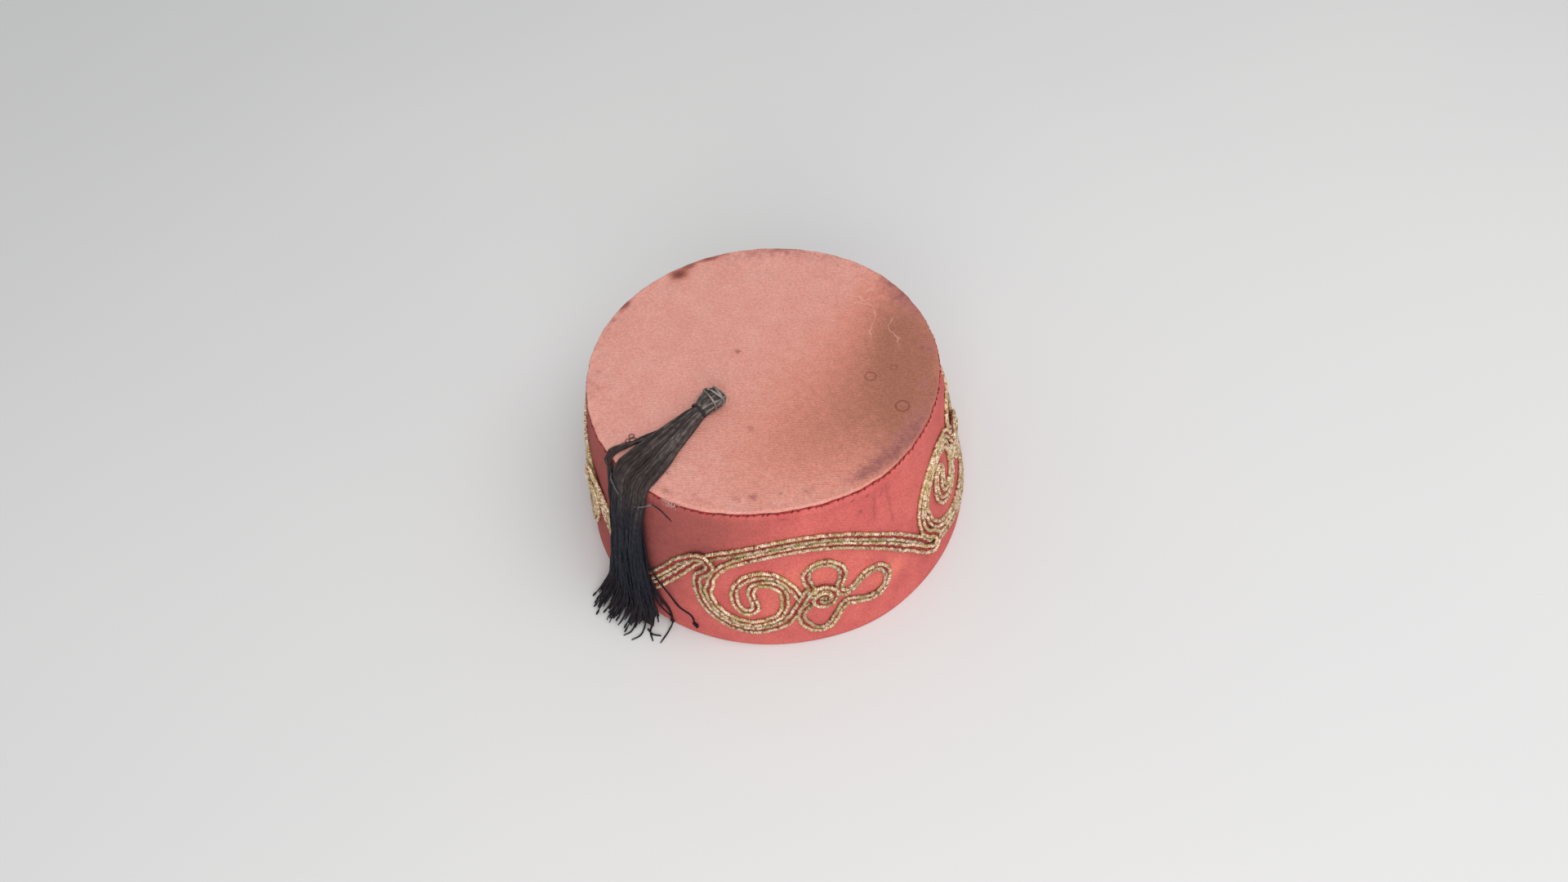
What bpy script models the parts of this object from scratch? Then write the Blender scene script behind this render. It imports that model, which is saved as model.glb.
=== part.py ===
"""A fez: a tapered red cloth crown with gold braid laid on its side, and a black tassel.

Metres, +Z up. The crown stands on its rim at z = 0, and its tassel hangs over the front, at -Y.
A turn is an angle round the crown's axis from the front, positive towards +X.
"""
import math

import bmesh
import bpy
from mathutils import Vector

# Crown
BASE_RADIUS = 0.0910
TOP_RADIUS = 0.0768
CROWN_HEIGHT = 0.0842
WALL_THICKNESS = 0.0022
TOP_THICKNESS = 0.0020
TOP_SAG = 0.0008
RIM_ROUND = 0.0013
HEM_ROUND = 0.0005
DENT_DEPTH = 0.0015

# Braid and its knots
BRAID_WIDTH = 0.0043
BRAID_HEIGHT = 0.0016
GROOVE_DEPTH = 0.0007
FOLD_SWELL = 0.0008
FOLD_LENGTH = 0.0080
KNOT_RADIUS = 0.0054
KNOT_HEIGHT = 0.0025
PETAL_REACH = 0.0215

# Tassel
HEAD_START = 0.0218
HEAD_WIDTH = 0.0102
HEAD_RISE = 0.0080
FRINGE_REACH = 0.0190
FRINGE_BEND = 0.0160
LOCK_SPACE = 0.0012

# Ornament's layout: turns in degrees, heights as shares of the crown's height
FIRST_FOLD_TURN = 26.0
ARCH_TURN = 72.0
FOLD_HEIGHT = 0.647
MIRROR_HEIGHT = 0.879

# Space between pieces that lie on each other
CLEARANCE = 0.0003

WALL_SIDES = 72
SAMPLE = 0.0005
SECTION_SPARE = 4
JOINT_TRIM = 6
BRAID_STEP = 0.0066
BRAID_BEND_STEP = 28.0
SHARP_ANGLE = 40.0

MID_RADIUS = (BASE_RADIUS + TOP_RADIUS) / 2
LANE = BRAID_WIDTH + CLEARANCE
WALL_LEAN = math.atan((BASE_RADIUS - TOP_RADIUS) / CROWN_HEIGHT)
BRAID_LIFT = CLEARANCE + BRAID_HEIGHT + FOLD_SWELL + CLEARANCE
PETAL_NECK = KNOT_RADIUS + CLEARANCE + BRAID_WIDTH / 2

# Dents and swells of the wall: turn and its spread in degrees, height and its spread as shares of
# the crown's height, and push outwards as a share of DENT_DEPTH
DENTS = (
    # turn, spread, height, spread, push
    (-145, 28, 1.00, 0.50, -0.90),
    (-70, 30, 1.00, 0.60, 0.90),
    (-28, 20, 0.45, 0.40, 0.90),
    (18, 14, 1.00, 0.50, 0.60),
    (48, 20, 1.00, 0.50, -0.60),
    (72, 14, 0.00, 0.35, 0.60),
    (82, 14, 0.90, 0.50, 0.50),
    (118, 22, 0.50, 0.45, -1.10),
    (160, 25, 1.00, 0.50, -0.50),
)

# Middle of the two wave braids, from the front to the first fold: turn as a share of
# FIRST_FOLD_TURN, height as a share of the crown's height
VALLEY = (
    # turn, height
    (0.00, 0.208),
    (0.12, 0.232),
    (0.23, 0.291),
    (0.38, 0.380),
    (0.56, 0.487),
    (0.74, 0.590),
    (0.90, 0.640),
)

# The same from one fold to the next: turn as a share of ARCH_TURN
ARCH = (
    # turn, height
    (0.000, FOLD_HEIGHT),
    (0.133, 0.701),
    (0.283, 0.748),
    (0.417, 0.753),
    (0.540, 0.715),
    (0.646, 0.644),
    (0.769, 0.525),
    (0.876, 0.371),
    (0.918, 0.306),
    (0.962, 0.245),
)

# The same from the last fold to the back: turn as a share of the turn that is left
CREST = (
    # turn, height
    (0.00, FOLD_HEIGHT),
    (0.50, 0.665),
    (1.00, 0.672),
)

# Middle of the arc's two braids, below a fold: turn as a share of ARCH_TURN
ARC = (
    # turn, height
    (-0.039, 0.490),
    (-0.035, 0.430),
    (-0.026, 0.359),
    (-0.004, 0.287),
    (0.036, 0.228),
    (0.089, 0.186),
    (0.150, 0.166),
    (0.213, 0.175),
)

# Outer braid of the arc, from there to the knot
STEM = (
    # turn, height
    (0.276, 0.181),
    (0.326, 0.234),
    (0.356, 0.281),
)

# Inner braid of the arc, from there round the curl, back on itself and to the knot
CURL = (
    # turn, height
    (0.254, 0.238),
    (0.286, 0.303),
    (0.296, 0.368),
    (0.289, 0.445),
    (0.258, 0.490),
    (0.217, 0.503),
    (0.180, 0.483),
    (0.165, 0.439),
    (0.171, 0.386),
    (0.179, 0.344),
    (0.172, 0.304),
    (0.144, 0.282),
    (0.115, 0.304),
    (0.102, 0.344),
    (0.096, 0.404),
    (0.107, 0.471),
    (0.147, 0.536),
    (0.204, 0.567),
    (0.264, 0.557),
    (0.317, 0.513),
    (0.350, 0.455),
    (0.369, 0.410),
)

# Start of the arc below its fold in widths of a lane, how much later its outer braid starts in
# braid widths, and how far the ends of both are cut askew
ARC_DROP = 1.45
ARC_STEP_BACK = 1.0
ARC_SLANT = 1.1
CURL_SLANT = 0.5

# Spare turn in degrees between the two braids that end at the knot
KNOT_SPARE_TURN = 3.0

# Middle of the flower's knot: turn as a share of ARCH_TURN
KNOT_TURN = 0.447
KNOT_RISE = 0.353

# Braid round the three petals: angle about the knot in degrees, anticlockwise from the side, and
# reach past the petals' neck as a share of PETAL_REACH
PETALS = (
    # angle, reach
    (113, 0.03),
    (116, 0.23),
    (108, 0.42),
    (96, 0.55),
    (84, 0.57),
    (71, 0.54),
    (57, 0.44),
    (48, 0.29),
    (34, 0.13),
    (13, 0.04),
    (-3, 0.09),
    (-1, 0.20),
    (8, 0.36),
    (14, 0.52),
    (13, 0.71),
    (8, 0.89),
    (-1, 0.98),
    (-9, 1.00),
    (-18, 0.96),
    (-26, 0.81),
    (-30, 0.61),
    (-33, 0.41),
    (-35, 0.22),
    (-46, 0.13),
    (-63, 0.16),
    (-73, 0.29),
    (-81, 0.46),
    (-92, 0.58),
    (-104, 0.56),
    (-115, 0.50),
    (-122, 0.40),
)

# Section of a braid: side and height as shares of its width and height. Two cords and a groove.
BRAID_SECTION = (
    # side, height
    (-0.50, 0.0),
    (-0.27, 1.0),
    (0.00, 1.0 - GROOVE_DEPTH / BRAID_HEIGHT),
    (0.27, 1.0),
    (0.50, 0.0),
)

# Profile of the knot: radius as a share of KNOT_RADIUS, height as a share of KNOT_HEIGHT
KNOT_PROFILE = (
    # radius, height
    (1.00, 0.00),
    (0.94, 0.62),
    (0.72, 1.00),
    (0.46, 0.66),
    (0.24, 0.90),
)
KNOT_SIDES = 12

# Tassel from the head's end to the fringe: stretch that it lies on and place along it, drift
# sideways and width as shares of HEAD_WIDTH, rise above what it lies on as a share of HEAD_RISE
TASSEL = (
    # stretch, along, drift, width, rise
    ("top", 0.00, -0.08, 0.50, 0.42),
    ("top", 0.04, -0.12, 0.84, 0.82),
    ("top", 0.10, -0.15, 1.00, 1.00),
    ("top", 0.19, -0.17, 0.84, 0.86),
    ("top", 0.27, -0.17, 0.64, 0.60),
    ("top", 0.34, -0.16, 0.78, 0.66),
    ("top", 0.50, -0.12, 1.06, 0.64),
    ("top", 0.75, -0.05, 1.60, 0.58),
    ("top", 1.00, 0.02, 1.98, 0.52),
    ("rim", 0.50, 0.02, 1.98, 0.48),
    ("rim", 1.00, 0.03, 1.95, 0.46),
    ("wall", 0.16, 0.03, 1.84, 0.48),
    ("wall", 0.45, -0.02, 1.80, 0.54),
    ("wall", 0.75, 0.00, 2.05, 0.54),
    ("wall", 1.00, 0.05, 2.45, 0.50),
    ("foot", 0.50, 0.12, 3.05, 0.42),
    ("foot", 1.00, 0.18, 3.70, 0.32),
    ("floor", 1.00, 0.20, 4.20, 0.22),
)

# Locks of the skirt, from the left: row of TASSEL after which a lock is free of the next one,
# reach of its tip as a share of the floor's stretch, and how far its tip swings sideways, as a
# share of HEAD_WIDTH
LOCKS = (
    # free_after, reach, swing
    (7, 0.50, -0.12),
    (14, 0.80, -0.12),
    (15, 1.00, 0.04),
    (15, 0.70, -0.06),
    (16, 1.00, 0.06),
    (15, 0.62, 0.00),
    (14, 0.90, 0.10),
    (13, 0.45, 0.02),
    (13, 0.86, 0.16),
)
# Height of the creases between locks, width of a lock's tip, and height of the bundle's edges, as
# shares of what they belong to; part of the wall's stretch on which the bundle comes off the wall
LOCK_CREASE = 0.72
TIP_SHARE = 0.45
EDGE_RISE = 0.35
LIFT_SHARE = 0.3


def clear_scene():
    for thing in list(bpy.data.objects):
        bpy.data.objects.remove(thing, do_unlink=True)


def cloth(name, colour, roughness, metallic=0.0):
    material = bpy.data.materials.new(name)
    material.use_nodes = True
    shader = material.node_tree.nodes["Principled BSDF"]
    shader.inputs["Base Color"].default_value = (*colour, 1.0)
    shader.inputs["Roughness"].default_value = roughness
    shader.inputs["Metallic"].default_value = metallic
    return material


def finish_piece(name, shape, material, parent):
    """Turns a closed bmesh into a named object with outward faces."""
    bmesh.ops.recalc_face_normals(shape, faces=shape.faces)
    mesh = bpy.data.meshes.new(name)
    shape.to_mesh(mesh)
    shape.free()
    mesh.shade_smooth()
    mesh.set_sharp_from_angle(angle=math.radians(SHARP_ANGLE))
    mesh.materials.append(material)
    piece = bpy.data.objects.new(name, mesh)
    bpy.context.collection.objects.link(piece)
    piece.parent = parent
    return piece


def add_ring(shape, points):
    return [shape.verts.new(point) for point in points]


def join_rings(shape, first, second):
    """Quads between two closed rings of as many points."""
    for index in range(len(first)):
        after = (index + 1) % len(first)
        shape.faces.new((first[index], first[after], second[after], second[index]))


def smoothstep(share):
    share = min(max(share, 0.0), 1.0)
    return share * share * (3 - 2 * share)


def angle_between(turn, other):
    """Smallest difference of two turns in degrees."""
    return abs((turn - other + 180) % 360 - 180)


def dent(turn, height):
    """Push of the wall outwards at a turn in radians and a height in metres."""
    push = 0.0
    for at, spread, level, level_spread, share in DENTS:
        aside = angle_between(math.degrees(turn), at) / spread
        above = (height / CROWN_HEIGHT - level) / level_spread
        push += share * math.exp(-aside * aside - above * above)
    return push * DENT_DEPTH


def wall_radius(turn, height):
    """Outside of the wall."""
    taper = (TOP_RADIUS - BASE_RADIUS) * height / CROWN_HEIGHT
    return BASE_RADIUS + taper + dent(turn, height)


def top_height(radius):
    """Upper face of the top disc."""
    return CROWN_HEIGHT - TOP_SAG * (1 - (radius / TOP_RADIUS) ** 2)


def around(turn, radius, height):
    return Vector((radius * math.sin(turn), -radius * math.cos(turn), height))


def on_wall(across, up, lift):
    """A point above the wall: across is measured round it at its middle radius."""
    turn = across / MID_RADIUS
    radius = wall_radius(turn, up) + lift * math.cos(WALL_LEAN)
    return around(turn, radius, up + lift * math.sin(WALL_LEAN))


def full_circle():
    return [2 * math.pi * side / WALL_SIDES for side in range(WALL_SIDES)]


def make_side(material, parent):
    """Hollow tapered wall, with a flat hem below and a rounded edge under the top disc."""
    edge = CROWN_HEIGHT - TOP_THICKNESS - CLEARANCE
    levels = [HEM_ROUND + (edge - 2 * HEM_ROUND) * step / 5 for step in range(6)]
    outside = [(0.0, HEM_ROUND)] + [(level, 0.0) for level in levels] + [(edge, HEM_ROUND)]
    inside = [(edge, WALL_THICKNESS - HEM_ROUND)]
    inside += [(levels[step], WALL_THICKNESS) for step in (5, 3, 1, 0)]
    inside += [(0.0, WALL_THICKNESS - HEM_ROUND)]
    shape = bmesh.new()
    rings = []
    for height, depth in outside + inside:
        points = [around(turn, wall_radius(turn, height) - depth, height) for turn in full_circle()]
        rings.append(add_ring(shape, points))
    for first, second in zip(rings, rings[1:] + rings[:1]):
        join_rings(shape, first, second)
    return finish_piece("crown_side", shape, material, parent)


def make_top(material, parent):
    """Flat disc with a rounded rim, sagging a little to its middle."""
    below = -TOP_THICKNESS
    corner = [
        (RIM_ROUND * (1 - math.sin(angle)), RIM_ROUND * (math.cos(angle) - 1))
        for angle in (math.pi / 2, math.pi / 4, 0.0)
    ]
    profile = [(TOP_RADIUS / 2, below), (HEM_ROUND + RIM_ROUND, below), (HEM_ROUND, below)]
    profile += [(0.0, below + HEM_ROUND)] + corner + [(TOP_RADIUS * share, 0.0) for share in (0.2, 0.6)]
    shape = bmesh.new()
    rings = []
    for depth, level in profile:
        points = []
        for turn in full_circle():
            rim = wall_radius(turn, CROWN_HEIGHT)
            radius = rim - depth
            points.append(around(turn, radius, top_height(radius) - CROWN_HEIGHT + level))
        rings.append(add_ring(shape, points))
    for first, second in zip(rings, rings[1:]):
        join_rings(shape, first, second)
    for ring, level in ((rings[0], below), (rings[-1], 0.0)):
        cap_ring(shape, ring, (0.0, 0.0, top_height(0.0) - CROWN_HEIGHT + level))
    piece = finish_piece("crown_top", shape, material, parent)
    piece.location.z = CROWN_HEIGHT
    return piece


def cap_ring(shape, ring, middle):
    """Fan of triangles from a closed ring to a point in its middle."""
    centre = shape.verts.new(middle)
    for index, corner in enumerate(ring):
        shape.faces.new((corner, ring[(index + 1) % len(ring)], centre))


def through(points):
    """A smooth curve through points, sampled about every SAMPLE."""
    points = [points[0] * 2 - points[1]] + points + [points[-1] * 2 - points[-2]]
    curve = []
    for before, start, end, after in zip(points, points[1:], points[2:], points[3:]):
        steps = max(2, round((end - start).length / SAMPLE))
        for step in range(steps):
            share = step / steps
            pull = (end - before) * 0.5
            push = (after - start) * 0.5
            curve.append(
                start
                + pull * share
                + ((end - start) * 3 - pull * 2 - push) * share ** 2
                + ((start - end) * 2 + pull + push) * share ** 3
            )
    curve.append(points[-2])
    return curve


def headings(curve, closed=False):
    """Unit direction of a sampled curve at each of its points."""
    count = len(curve)
    result = []
    for index in range(count):
        before = curve[index - 1] if closed or index else curve[0]
        after = curve[(index + 1) % count] if closed or index < count - 1 else curve[-1]
        result.append((after - before).normalized())
    return result


def beside(curve, offset):
    """A curve that runs beside another, to its left for a positive offset."""
    return [
        point + Vector((-heading.y, heading.x)) * offset
        for point, heading in zip(curve, headings(curve))
    ]


def sections_of(curve, closed=False):
    """Indexes of the points that get a section: more of them where the curve bends."""
    directions = headings(curve, closed)
    chosen = [0]
    spent = 0.0
    for index in range(1, len(curve)):
        bend = math.degrees(directions[index].angle(directions[index - 1]))
        spent += (curve[index] - curve[index - 1]).length / BRAID_STEP + bend / BRAID_BEND_STEP
        if spent >= 1.0:
            chosen.append(index)
            spent = 0.0
    last = len(curve) - 1
    if last - chosen[-1] < SECTION_SPARE:
        chosen.pop()
    if not closed:
        chosen.append(last)
    return chosen


def lay_braid(name, curve, material, parent, closed=False, swells=(), slant=0.0):
    """Sweeps the braid's section along a curve on the unrolled wall; slant cuts its start askew."""
    directions = headings(curve, closed)
    shape = bmesh.new()
    rings = []
    for index in sections_of(curve, closed):
        point = curve[index]
        side = Vector((-directions[index].y, directions[index].x))
        swell = sum(math.exp(-((point - fold).length * 2 / FOLD_LENGTH) ** 2) for fold in swells)
        height = BRAID_HEIGHT + FOLD_SWELL * min(swell, 1.0)
        ring = []
        for aside, rise in BRAID_SECTION:
            place = point + side * (aside * BRAID_WIDTH)
            if index == 0:
                place += directions[0] * (aside * BRAID_WIDTH * slant)
            ring.append(on_wall(place.x, place.y, CLEARANCE + rise * height))
        rings.append(add_ring(shape, ring))
    pairs = list(zip(rings, rings[1:]))
    if closed:
        pairs.append((rings[-1], rings[0]))
    for first, second in pairs:
        join_rings(shape, first, second)
    if not closed:
        shape.faces.new(rings[0])
        shape.faces.new(rings[-1])
    return finish_piece(name, shape, material, parent)


def wall_place(turn, height, flipped=False, mirrored=False):
    """Place on the unrolled wall of a turn in degrees and a height share."""
    if flipped:
        height = MIRROR_HEIGHT - height
    if mirrored:
        turn = -turn
    return Vector((math.radians(turn) * MID_RADIUS, height * CROWN_HEIGHT))


def wave_half():
    """Middle of the wave from the front to the back, on one side, as turns and heights."""
    folds = (FIRST_FOLD_TURN, FIRST_FOLD_TURN + ARCH_TURN, FIRST_FOLD_TURN + 2 * ARCH_TURN)
    points = [(turn * FIRST_FOLD_TURN, height) for turn, height in VALLEY]
    points += [(folds[0] + turn * ARCH_TURN, height) for turn, height in ARCH]
    points += [(folds[1] + turn * ARCH_TURN, MIRROR_HEIGHT - height) for turn, height in ARCH]
    points += [(folds[2] + turn * (180 - folds[2]), height) for turn, height in CREST]
    return points


def make_wave(material, parent):
    """The two braids that run side by side round the wall."""
    half = wave_half()
    whole = half + [(360 - turn, height) for turn, height in reversed(half[1:-1])]
    middle = [wall_place(turn, height) for turn, height in whole]
    length = 2 * math.pi * MID_RADIUS
    around_once = Vector((length, 0.0))
    padded = [middle[-2] - around_once, middle[-1] - around_once] + middle
    padded += [middle[0] + around_once, middle[1] + around_once]
    curve = through(padded)
    lanes = {}
    for name, offset in (("wave_braid_upper", LANE / 2), ("wave_braid_lower", -LANE / 2)):
        lane = beside(curve, offset)
        start = next(i for i, point in enumerate(lane) if point.x >= 0.0)
        end = next(i for i, point in enumerate(lane) if point.x >= length - SAMPLE)
        lanes[name] = lane[start:end]
    highest = [wall_place(FIRST_FOLD_TURN + turn, FOLD_HEIGHT) for turn in (0, 2 * ARCH_TURN)]
    lowest = [wall_place(FIRST_FOLD_TURN + ARCH_TURN, FOLD_HEIGHT, flipped=True)]
    pieces = []
    for name, folds in (("wave_braid_upper", highest), ("wave_braid_lower", lowest)):
        both = folds + [Vector((length - fold.x, fold.y)) for fold in folds]
        pieces.append(lay_braid(name, lanes[name], material, parent, True, both))
    return pieces


def make_motif(number, fold_turn, flipped, mirrored, gold, coil, parent):
    """An arc, its curl, a flower and its knot, hung on one fold of the wave."""
    def place(turn, height):
        return wall_place(fold_turn + turn * ARCH_TURN, height, flipped, mirrored)

    def away(angle, distance):
        upright = -1 if flipped else 1
        sideways = -1 if mirrored else 1
        angle = math.radians(angle)
        return Vector((sideways * math.cos(angle), upright * math.sin(angle))) * distance

    knot = place(KNOT_TURN, KNOT_RISE)
    edge = KNOT_RADIUS + 2 * CLEARANCE
    spread = math.degrees(math.asin(LANE / (2 * edge))) + KNOT_SPARE_TURN
    top = place(ARC[0][0], FOLD_HEIGHT) - away(90, ARC_DROP * LANE)
    arc = through([top] + [place(turn, height) for turn, height in ARC])
    turned = 1 if flipped == mirrored else -1
    outer = beside(arc, -turned * LANE / 2)
    inner = beside(arc, turned * LANE / 2)
    outer_start = round(ARC_STEP_BACK * BRAID_WIDTH / SAMPLE)
    stem_end = knot + away(180 + spread, edge)
    stem = through([outer[-1]] + [place(turn, height) for turn, height in STEM] + [stem_end])
    outer = outer[outer_start:-JOINT_TRIM] + stem[JOINT_TRIM:]
    curl_end = knot + away(180 - spread, edge)
    curl = through([inner[-1]] + [place(turn, height) for turn, height in CURL] + [curl_end])
    inner = inner[:-JOINT_TRIM] + curl[JOINT_TRIM:]
    petals = [knot + away(angle, PETAL_NECK + reach * PETAL_REACH) for angle, reach in PETALS]
    return [
        lay_braid(f"arc_braid_{number}", outer, gold, parent, slant=-turned * ARC_SLANT),
        lay_braid(f"scroll_braid_{number}", inner, gold, parent, slant=-turned * CURL_SLANT),
        lay_braid(f"flower_braid_{number}", through(petals), gold, parent),
        make_knot(f"flower_knot_{number}", knot, coil, parent),
    ]


def make_knot(name, centre, material, parent):
    """A small coil of braid, as a low turned button with a ring-shaped hollow."""
    shape = bmesh.new()
    rings = []
    for radius, height in KNOT_PROFILE:
        points = []
        for side in range(KNOT_SIDES):
            angle = 2 * math.pi * side / KNOT_SIDES
            aside = centre + Vector((math.cos(angle), math.sin(angle))) * (radius * KNOT_RADIUS)
            points.append(on_wall(aside.x, aside.y, CLEARANCE + height * KNOT_HEIGHT))
        rings.append(add_ring(shape, points))
    for first, second in zip(rings, rings[1:]):
        join_rings(shape, first, second)
    for ring, height in ((rings[0], 0.0), (rings[-1], KNOT_PROFILE[-1][1])):
        cap_ring(shape, ring, on_wall(centre.x, centre.y, CLEARANCE + height * KNOT_HEIGHT))
    return finish_piece(name, shape, material, parent)


def tassel_ground(stretch, share):
    """What the tassel lies on: radius and height of a place, and the angle of the way up from it."""
    bend = RIM_ROUND + CLEARANCE
    rim_level = CROWN_HEIGHT - RIM_ROUND
    foot_level = CLEARANCE + FRINGE_BEND * (1 - math.sin(WALL_LEAN))
    foot_radius = BASE_RADIUS + (TOP_RADIUS - BASE_RADIUS) * foot_level / CROWN_HEIGHT + BRAID_LIFT
    floor_radius = foot_radius + FRINGE_BEND * math.cos(WALL_LEAN)
    if stretch == "top":
        radius = HEAD_START + (TOP_RADIUS - RIM_ROUND - HEAD_START) * share
        return radius, top_height(radius) + CLEARANCE, math.pi / 2
    if stretch == "rim":
        angle = math.pi / 2 + (WALL_LEAN - math.pi / 2) * share
        return TOP_RADIUS - RIM_ROUND + bend * math.cos(angle), rim_level + bend * math.sin(angle), angle
    if stretch == "wall":
        level = rim_level + (foot_level - rim_level) * share
        lift = CLEARANCE + (BRAID_LIFT - CLEARANCE) * smoothstep(share / LIFT_SHARE)
        return BASE_RADIUS + (TOP_RADIUS - BASE_RADIUS) * level / CROWN_HEIGHT + lift, level, WALL_LEAN
    if stretch == "foot":
        angle = WALL_LEAN + (math.pi / 2 - WALL_LEAN) * share
        level = CLEARANCE + FRINGE_BEND * (1 - math.sin(angle))
        return floor_radius - FRINGE_BEND * math.cos(angle), level, angle
    return floor_radius + (BASE_RADIUS + FRINGE_REACH - floor_radius) * share, CLEARANCE, math.pi / 2


def tassel_point(ground, aside, lift):
    """A point of the tassel: aside along the rim's direction, lift off what it lies on."""
    radius, height, up = ground
    turn = aside / radius
    fade = min(radius / TOP_RADIUS, 1.0) ** 3
    shift = dent(turn, height) * fade
    return around(turn, radius + shift + lift * math.cos(up), height + lift * math.sin(up))


def arched(aside):
    """Height of the bundle over its width, from 1 in the middle to a low edge."""
    return EDGE_RISE + (1 - EDGE_RISE) * math.sqrt(max(0.0, 1 - aside * aside))


def lock_point(row, lock, spot, upper, inset=0.0):
    """A point of a lock: spot runs from -1 to 1 across the bundle, inset narrows a free lock."""
    stretch, along, drift, width, rise = TASSEL[row]
    last = len(TASSEL) - 1
    _, reach, swing = LOCKS[lock]
    parted = min(LOCKS[other][0] for other in (lock - 1, lock) if 0 <= other < len(LOCKS) - 1)
    loose = max(0.0, (row - parted) / (last - parted))
    tip = TIP_SHARE if row == last else 1.0
    middle = (2 * lock + 1) / len(LOCKS) - 1
    half = (spot - middle) * width * HEAD_WIDTH / 2 + inset
    aside = (drift + middle * width / 2 + swing * loose) * HEAD_WIDTH + half * tip
    lift = rise * HEAD_RISE * arched(spot) * upper * tip
    if stretch == "floor":
        along *= reach
    return tassel_point(tassel_ground(stretch, along), aside, lift)


def make_tassel(material, parent):
    """Head and locks as one closed body; each lock is free of its neighbour near the fringe."""
    count = len(LOCKS)
    shape = bmesh.new()
    shared = {}

    def corner(row, edge, lock, upper):
        """Edge of a lock, which is its neighbour's too where the two run together."""
        free = 0 < edge < count and row > LOCKS[edge - 1][0]
        key = (row, edge, lock if free else None, upper)
        if key not in shared:
            inset = (LOCK_SPACE / 2 if edge == lock else -LOCK_SPACE / 2) if free else 0.0
            place = lock_point(row, lock, 2 * edge / count - 1, upper * LOCK_CREASE, inset)
            shared[key] = shape.verts.new(place)
        return shared[key]

    for lock in range(count):
        rings = []
        for row in range(len(TASSEL)):
            rings.append([
                corner(row, lock, lock, 0),
                corner(row, lock, lock, 1),
                shape.verts.new(lock_point(row, lock, (2 * lock + 1) / count - 1, 1)),
                corner(row, lock + 1, lock, 1),
                corner(row, lock + 1, lock, 0),
            ])
        for row, (first, second) in enumerate(zip(rings, rings[1:])):
            left_free = lock == 0 or row >= LOCKS[lock - 1][0]
            right_free = lock == count - 1 or row >= LOCKS[lock][0]
            for index in range(5):
                if (index == 0 and not left_free) or (index == 3 and not right_free):
                    continue
                after = (index + 1) % 5
                shape.faces.new((first[index], first[after], second[after], second[index]))
        shape.faces.new(rings[0])
        shape.faces.new(rings[-1])
    return finish_piece("tassel", shape, material, parent)


def stand_on_footprint(pieces, parent):
    """Moves the whole so that the middle of its footprint is at the origin."""
    corners = [piece.matrix_world @ vertex.co for piece in pieces for vertex in piece.data.vertices]
    middle = [(min(c[axis] for c in corners) + max(c[axis] for c in corners)) / 2 for axis in (0, 1)]
    parent.location = (-middle[0], -middle[1], 0.0)


def main():
    clear_scene()
    fez = bpy.data.objects.new("fez", None)
    bpy.context.collection.objects.link(fez)
    red = cloth("red_cloth", (0.62, 0.13, 0.10), 0.9)
    faded = cloth("faded_red_cloth", (0.68, 0.28, 0.20), 0.92)
    gold = cloth("gold_braid", (0.62, 0.50, 0.24), 0.45, 0.6)
    coil = cloth("gold_coil", (0.66, 0.55, 0.28), 0.42, 0.6)
    black = cloth("black_cord", (0.03, 0.03, 0.035), 0.75)
    pieces = [make_side(red, fez), make_top(faded, fez)]
    pieces += make_wave(gold, fez)
    motifs = [(FIRST_FOLD_TURN, False, False), (FIRST_FOLD_TURN + ARCH_TURN, True, False)]
    motifs += [(turn, flipped, True) for turn, flipped, _ in reversed(motifs)]
    for number, (turn, flipped, mirrored) in enumerate(motifs, start=1):
        pieces += make_motif(number, turn, flipped, mirrored, gold, coil, fez)
    pieces.append(make_tassel(black, fez))
    bpy.context.view_layer.update()
    stand_on_footprint(pieces, fez)
    bpy.context.view_layer.update()


main()
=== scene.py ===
"""Looks of the fez: felt crown, sewn rim, metal braid laid on the wall, and a tassel of silk cords.

Metres, in the frame's own space. A turn is an angle round the crown's axis from -Y towards +X.
"""
import math
from itertools import product

import bpy
import numpy as np
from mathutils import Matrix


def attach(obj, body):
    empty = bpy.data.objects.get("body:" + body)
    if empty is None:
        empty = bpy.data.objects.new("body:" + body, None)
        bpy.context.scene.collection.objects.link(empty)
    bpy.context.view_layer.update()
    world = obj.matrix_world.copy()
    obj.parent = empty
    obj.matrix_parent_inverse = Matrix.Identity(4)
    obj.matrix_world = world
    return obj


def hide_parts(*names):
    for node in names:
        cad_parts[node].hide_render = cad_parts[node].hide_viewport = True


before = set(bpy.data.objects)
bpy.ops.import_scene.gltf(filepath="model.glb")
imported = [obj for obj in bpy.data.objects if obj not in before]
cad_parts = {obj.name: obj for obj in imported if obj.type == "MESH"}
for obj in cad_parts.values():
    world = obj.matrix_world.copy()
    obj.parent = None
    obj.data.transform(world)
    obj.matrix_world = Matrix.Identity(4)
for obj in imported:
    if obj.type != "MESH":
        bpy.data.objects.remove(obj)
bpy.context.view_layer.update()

AXIS_Y = 0.00953
BASE_RADIUS = 0.0910
TOP_RADIUS = 0.0768
CROWN_HEIGHT = 0.0842
WALL_THICKNESS = 0.0022
TOP_THICKNESS = 0.0020
SEAM_GAP = 0.0003
TOP_SAG = 0.0008
DENT_DEPTH = 0.0015
MID_RADIUS = (BASE_RADIUS + TOP_RADIUS) / 2
WALL_LEAN = math.atan((BASE_RADIUS - TOP_RADIUS) / CROWN_HEIGHT)
WALL_TOP = CROWN_HEIGHT - TOP_THICKNESS - SEAM_GAP

BRAID_WIDTH = 0.0043
LANE = BRAID_WIDTH + 0.0003
RIDGE_OFFSET = 0.00138
RIDGE_WIDTH = 0.00148
RIDGE_HEIGHT = 0.00160
TWIST = 0.0015
FIRST_FOLD_TURN = 26.0
ARCH_TURN = 72.0
MIRROR_HEIGHT = 0.879

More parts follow.
